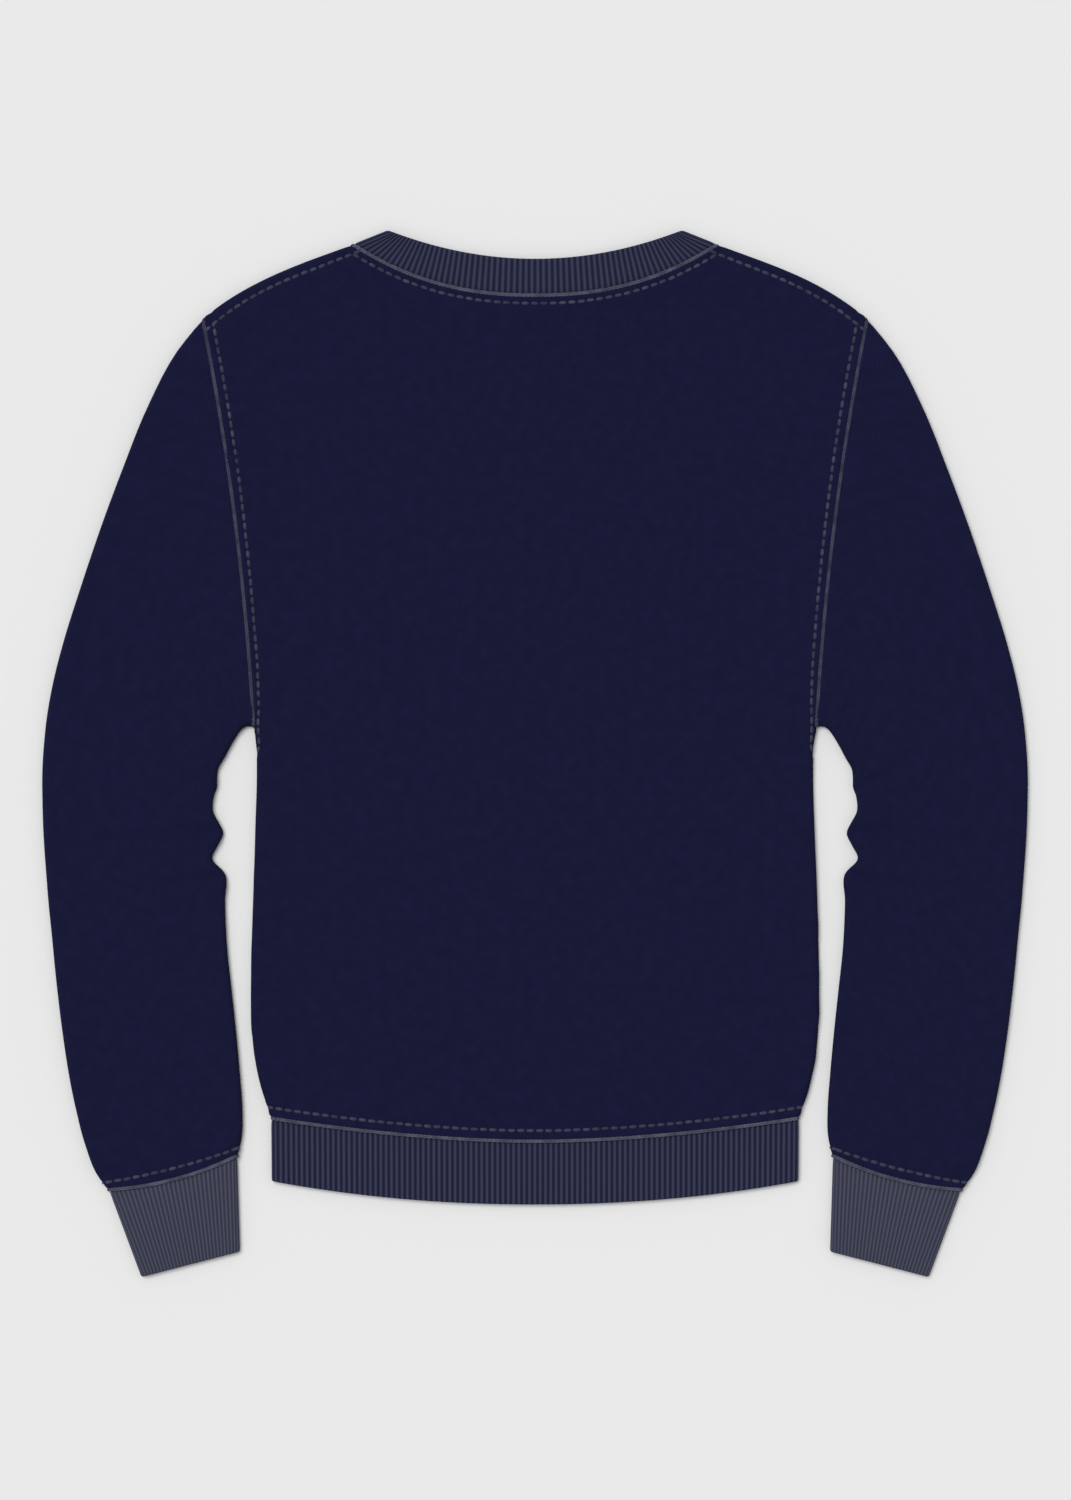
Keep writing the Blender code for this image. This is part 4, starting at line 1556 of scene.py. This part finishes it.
def neck_band(plan: GarmentPlan) -> RibBand:
    """Lay out the neck band: along the back, round the corners and down the V.

    Args:
        plan: The garment's plan.

    Returns:
        The band.
    """
    seam, edge = (dish.line(-1.0, 1.0, 81).points for dish in (plan.neck_seam, plan.neck_edge))
    corner, free = plan.neck_seam.corner, plan.neck_edge.corner
    v_depth = plan.v_seam.end - plan.v_seam.middle
    v_point = np.array([0.0, corner[1] - v_depth])
    v_edge_point = np.array([0.0, free[1] - v_depth * free[0] / corner[0]])
    v_line, v_edge = (both_halves(np.array([point, end]))
                      for point, end in ((v_point, corner), (v_edge_point, free)))
    fold = unit((free - corner) * [-1.0, 1.0])

    def skew(line: Array) -> float:
        """How much longer the line is than its distance from the corner fold."""
        leaving = unit(line[1] - line[0])
        return 1.0 / abs(leaving[0] * fold[1] - leaving[1] * fold[0])

    seams = tuple(Line(line + [0.0, plan.seam_gap]) for line in (seam, v_line))
    edges = (Line(edge), Line(v_edge))
    back_excess = (seams[0].length - edges[0].length) / 2
    arm = unit(v_point - corner)
    fans = (Fan(back_excess, back_excess, 7.0),
            Fan(float((free - corner) @ arm), float((v_point - v_edge_point) @ arm), 4.0, 2))
    return RibBand(plan, seams, edges, seam_skew=(skew(seam), skew(v_line)),
                   edge_skew=(skew(edge), skew(v_edge)), fans=fans, row_step=3.0 * MM)


# ------------------------------------------------------------------ sewing
@dataclass
class Sewing:
    """All seams and topstitching, as paths over the finished cloth."""

    plan: GarmentPlan
    back: BodyPanel
    front: BodyPanel
    sleeve: Sleeve
    finishes: Finishes
    fold_reach: float = 12 * MM         # within this of a fold a row is tested for crossing it
    past_side: float = 0.2              # past it, the way from the side fold leans out by more
    seam_lift: float = 0.3 * MM

    def inside(self, line: Line) -> Array:
        """Cut a row where it meets a fold.

        Args:
            line: The row, which runs past the folds at its ends.

        Returns:
            Its plan points between the folds.
        """
        dense = line.at(np.linspace(0.0, line.length, 900))
        side, side_in, _ = self.plan.side_line().nearest(dense)
        over, over_in, _ = self.plan.over_line().nearest(dense)
        past_side = ((side_in[:, 0] > self.past_side) & (side < self.fold_reach)
                     & (dense[:, 1] < self.plan.underarm[1]))
        past_top = (over_in[:, 1] > 0.0) & (over < self.fold_reach)
        return dense[~(past_side | past_top)]

    def below_shoulder_row(self, points: Array) -> Array:
        """Cut a row on the back where it meets the shoulder's row.

        Args:
            points: The row's plan points.

        Returns:
            Those below the shoulder's row.
        """
        shoulder = self.back.row_lines()["shoulder"].points
        right = np.abs(points[:, 0])
        limit = np.interp(right, shoulder[:, 0], shoulder[:, 1])
        return points[(right <= shoulder[0, 0]) | (points[:, 1] < limit)]

    def seam_round(self, upper: Line, lower: Line) -> Path:
        """Draw a seam that closes round a fold at each end.

        Args:
            upper: Its plan line on the back.
            lower: Its plan line on the front, the same way.

        Returns:
            The seam.
        """
        return Path.joined([
            self.back.surface(upper.at(np.linspace(0.0, upper.length, 500))),
            self.front.surface(lower.at(np.linspace(lower.length, 0.0, 500)))])

    def cuff_path(self, row: bool) -> Path:
        """Draw a path round the right sleeve.

        Args:
            row: Whether it is the row of topstitching, or else the cuff seam.

        Returns:
            The path.
        """
        columns = Columns.around(np.linspace(0.0, 1.0, 90), 16, np.linspace(0.0, 1.0, 60))
        end, sleeve = self.sleeve.stations()[-1], self.sleeve
        if not row:
            return sleeve.rings(np.array([end]), 0.0, columns)[0]
        low, high = sleeve.cuff_row, sleeve.cuff_row + sleeve.cuff_row_bow
        first, last = sleeve.rings(np.array([end - low, end - high]), 0.0, columns)
        start, stop = sleeve.sections(np.array([end - low]))[0].points[[0, -1]]
        share = np.clip((first.points[:, :2] - start) @ unit(stop - start)
                        / np.linalg.norm(stop - start), 0.0, 1.0)
        blend = ((sleeve.row_height(share) - low) / (high - low))[:, None]
        return Path(first.points * (1 - blend) + last.points * blend,
                    unit(first.out * (1 - blend) + last.out * blend))

    def topstitch_paths(self) -> dict[str, list[Path]]:
        """Draw every row of single stitches.

        Returns:
            The paths of the rows, by seam.
        """
        back, front = self.back, self.front
        upper, lower = back.row_lines(), front.row_lines()
        hem = [both_halves(self.inside(rows["hem"])) for rows in (upper, lower)]
        neck = self.below_shoulder_row(
            upper["neck"].at(np.linspace(0.0, upper["neck"].length, 500)))
        arm = self.inside(upper["armhole"])
        sleeve_row = Path.joined([front.surface(arm[::-1]),
                                  back.surface(self.below_shoulder_row(arm))], closed=False)
        shoulder = upper["shoulder"].at(np.linspace(0.0, upper["shoulder"].length, 200))
        return {"neck": [back.surface(both_halves(neck)),
                         front.surface(both_halves(self.inside(lower["neck"])))],
                "hem": [Path.joined([back.surface(hem[0]), front.surface(hem[1][::-1])])],
                "armholes": sleeve_row.pair(), "shoulders": back.surface(shoulder).pair(),
                "cuffs": self.cuff_path(row=True).pair()}

    def seam_paths(self) -> dict[str, list[Path]]:
        """Draw every seam.

        Returns:
            The paths of the seams, by name.
        """
        neck, v_line, hem = (Line(both_halves(line.points)) for line in (
            self.back.neck_line(), self.front.neck_line(), self.back.hem_line()))
        armhole = self.plan.armhole()
        return {"neck": [self.seam_round(neck, v_line)], "hem": [self.seam_round(hem, hem)],
                "armholes": self.seam_round(armhole, armhole).pair(),
                "cuffs": self.cuff_path(row=False).pair()}

    @staticmethod
    def sew(name: str, paths: Sequence[Path], tree: Tree, values: dict[str, object]) -> Item:
        """Turn paths into stitches.

        Args:
            name: The piece's name.
            paths: Where the stitches run.
            tree: The geometry tree of one kind of stitch.
            values: What its inputs are given, the thread's material among them.

        Returns:
            The object.
        """
        whole = Path.joined(paths)
        edges, start = [], 0
        for path in paths:
            count = len(path.points)
            edges += [(start + i, start + (i + 1) % count)
                      for i in range(count if path.closed else count - 1)]
            start += count
        mesh = bpy.data.meshes.new(name)
        mesh.from_pydata(whole.points.tolist(), edges, [])
        mesh.attributes.new("out", "FLOAT_VECTOR", "POINT").data.foreach_set(
            "vector", whole.out.astype(np.float32).ravel())
        item = placed(mesh)
        apply_tree(item, tree, values)
        for vertex in item.data.vertices:
            vertex.co.z = max(vertex.co.z, 0.0)     # what lies underneath is pressed flat
        return item

    def build(self) -> list[Item]:
        """Sew everything.

        Returns:
            One object for each kind of sewing on each seam.
        """
        made = []
        for kind, tree, groups in (("topstitch", topstitch_tree(), self.topstitch_paths()),
                                   ("seam", chain_tree(), self.seam_paths())):
            for seed, (seam, paths) in enumerate(groups.items()):
                pale = kind == "seam" and seam != "armholes"
                if kind == "seam":
                    paths = [path.moved(self.seam_lift) for path in paths]
                values = {"Seed": seed, "Finish": (self.finishes.thread if pale
                                                   else self.finishes.dark_thread)}
                made.append(self.sew(f"{kind}_{seam}", paths, tree, values))
        return made


# ------------------------------------------------------------------ studio
@dataclass(frozen=True)
class Studio:
    """A pale floor, soft even light and a camera straight above the garment."""

    pixel: float = 0.75 * MM            # size of one pixel of the picture on the garment
    picture: tuple[int, int] = (1071, 1500)
    centre_column: float = 535.0        # pixel column of the garment's middle
    origin_row: float = 753.5           # pixel row of the garment's origin
    lens: float = 135.0
    sensor: float = 36.0
    sight: float = 60.0                 # how far the camera sees, in metres
    floor_size: float = 30.0
    floor_colour: str = "#E6E6E6"
    key_energy: float = 1.99
    key_spread: float = 35.0            # in degrees, as its tilt
    key_tilt: tuple[float, float] = (-15.0, -17.0)
    surround: float = 0.45

    def floor(self) -> None:
        """Lay the floor."""
        bpy.ops.mesh.primitive_grid_add(x_subdivisions=8, y_subdivisions=8,
                                        size=self.floor_size)
        floor = bpy.context.object
        floor.name = "floor"
        made = bpy.data.materials.new("matt_painted_floor")
        made.use_nodes = True
        for key, value in (("Base Color", srgb(self.floor_colour)), ("Roughness", 0.95),
                           ("Specular IOR Level", 0.0)):
            made.node_tree.nodes["Principled BSDF"].inputs[key].default_value = value
        floor.data.materials.append(made)

    def lights(self) -> None:
        """Set a soft key from the upper left and an even surround."""
        key = bpy.data.lights.new("key", "SUN")
        key.energy = self.key_energy
        key.angle = math.radians(self.key_spread)
        placed(key).rotation_euler = (*map(math.radians, self.key_tilt), 0.0)
        world = bpy.data.worlds.new("studio")
        world.use_nodes = True
        background = world.node_tree.nodes["Background"].inputs
        background["Color"].default_value = (1, 1, 1, 1)
        background["Strength"].default_value = self.surround
        bpy.context.scene.world = world

    def camera(self) -> None:
        """Hang the camera straight above, with the picture's frame and a long lens."""
        width, height = self.picture
        data = bpy.data.cameras.new("camera")
        data.lens, data.sensor_width, data.clip_end = self.lens, self.sensor, self.sight
        item = placed(data)
        item.location = ((width / 2 - self.centre_column) * self.pixel,
                         (self.origin_row - height / 2) * self.pixel,
                         height * self.pixel * self.lens / self.sensor)
        bpy.context.scene.camera = item

    def build(self) -> None:
        """Make the studio."""
        self.floor()
        self.lights()
        self.camera()
        bpy.context.scene.view_settings.view_transform = "Standard"


def body_creases() -> tuple[Crease, ...]:
    """List the faint drag lines on the back, from the underarms and the shoulders.

    Returns:
        The creases.
    """
    strength = 1.35     # of all of them together
    lines = (           # plan points, depth and width, both in mm
        (((0.203, 0.030), (0.166, 0.080), (0.112, 0.108)), 0.80, 8.0),
        (((0.203, 0.062), (0.184, 0.116), (0.150, 0.158)), 0.60, 7.0),
        (((-0.203, 0.024), (-0.172, 0.066), (-0.104, 0.090)), 0.75, 8.5),
        (((-0.203, 0.056), (-0.182, 0.104), (-0.160, 0.150)), 0.50, 6.5),
        (((0.226, 0.225), (0.176, 0.196), (0.106, 0.186)), 0.45, 12.0),
        (((-0.230, 0.240), (-0.180, 0.205), (-0.136, 0.196)), 0.40, 11.0),
        (((0.207, -0.212), (0.170, -0.196), (0.102, -0.192)), 0.65, 9.0),
        (((0.211, -0.148), (0.176, -0.142), (0.132, -0.150)), 0.45, 9.0),
        (((-0.207, -0.222), (-0.166, -0.206), (-0.120, -0.204)), 0.60, 8.5),
        (((-0.212, -0.120), (-0.160, -0.128), (-0.092, -0.150)), 0.45, 12.0),
        (((-0.062, -0.226), (0.000, -0.206), (0.074, -0.210)), 0.35, 12.0),
    )
    return tuple(Crease(line, strength * depth * MM, width * MM)
                 for line, depth, width in lines)


def main() -> None:
    """Build the garment over its frame, then the studio."""
    logging.basicConfig(level=logging.INFO, format="%(name)s: %(message)s")
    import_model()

    plan, finishes, relief = GarmentPlan(), Finishes(), rib_relief_tree()
    back = BodyPanel(plan, Layer.UPPER, body_creases())
    front = BodyPanel(plan, Layer.LOWER, seam_sink=1.1 * MM, row_sink=0.8 * MM,
                      allowance_puff=0.0)
    sleeve, cuff = Sleeve(plan), cuff_band(plan)
    pieces = {
        "body_back": back.build("back_panel", finishes),
        "body_front": front.build("front_panel", finishes),
        "sleeve_right": sleeve.build("right_sleeve", finishes, 1.0),
        "sleeve_left": sleeve.build("left_sleeve", finishes, -1.0),
        "hem_rib": hem_band(plan).build("hem_band", finishes.rib, relief),
        "neck_rib": neck_band(plan).build("neck_band", finishes.rib, relief),
        "cuff_right": cuff.build("right_cuff", finishes.cuff_rib, relief),
        "cuff_left": cuff.build("left_cuff", finishes.cuff_rib, relief, -1.0),
    }
    for node, piece in pieces.items():
        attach(piece, BODY)
        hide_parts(node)
    sewn = Sewing(plan, back, front, sleeve, finishes).build()
    for piece in sewn:
        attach(piece, BODY)
    for piece in [*pieces.values(), *sewn]:
        LOG.info("%s: %d faces", piece.name, len(piece.data.polygons))
    Studio().build()


if __name__ == "__main__":
    main()
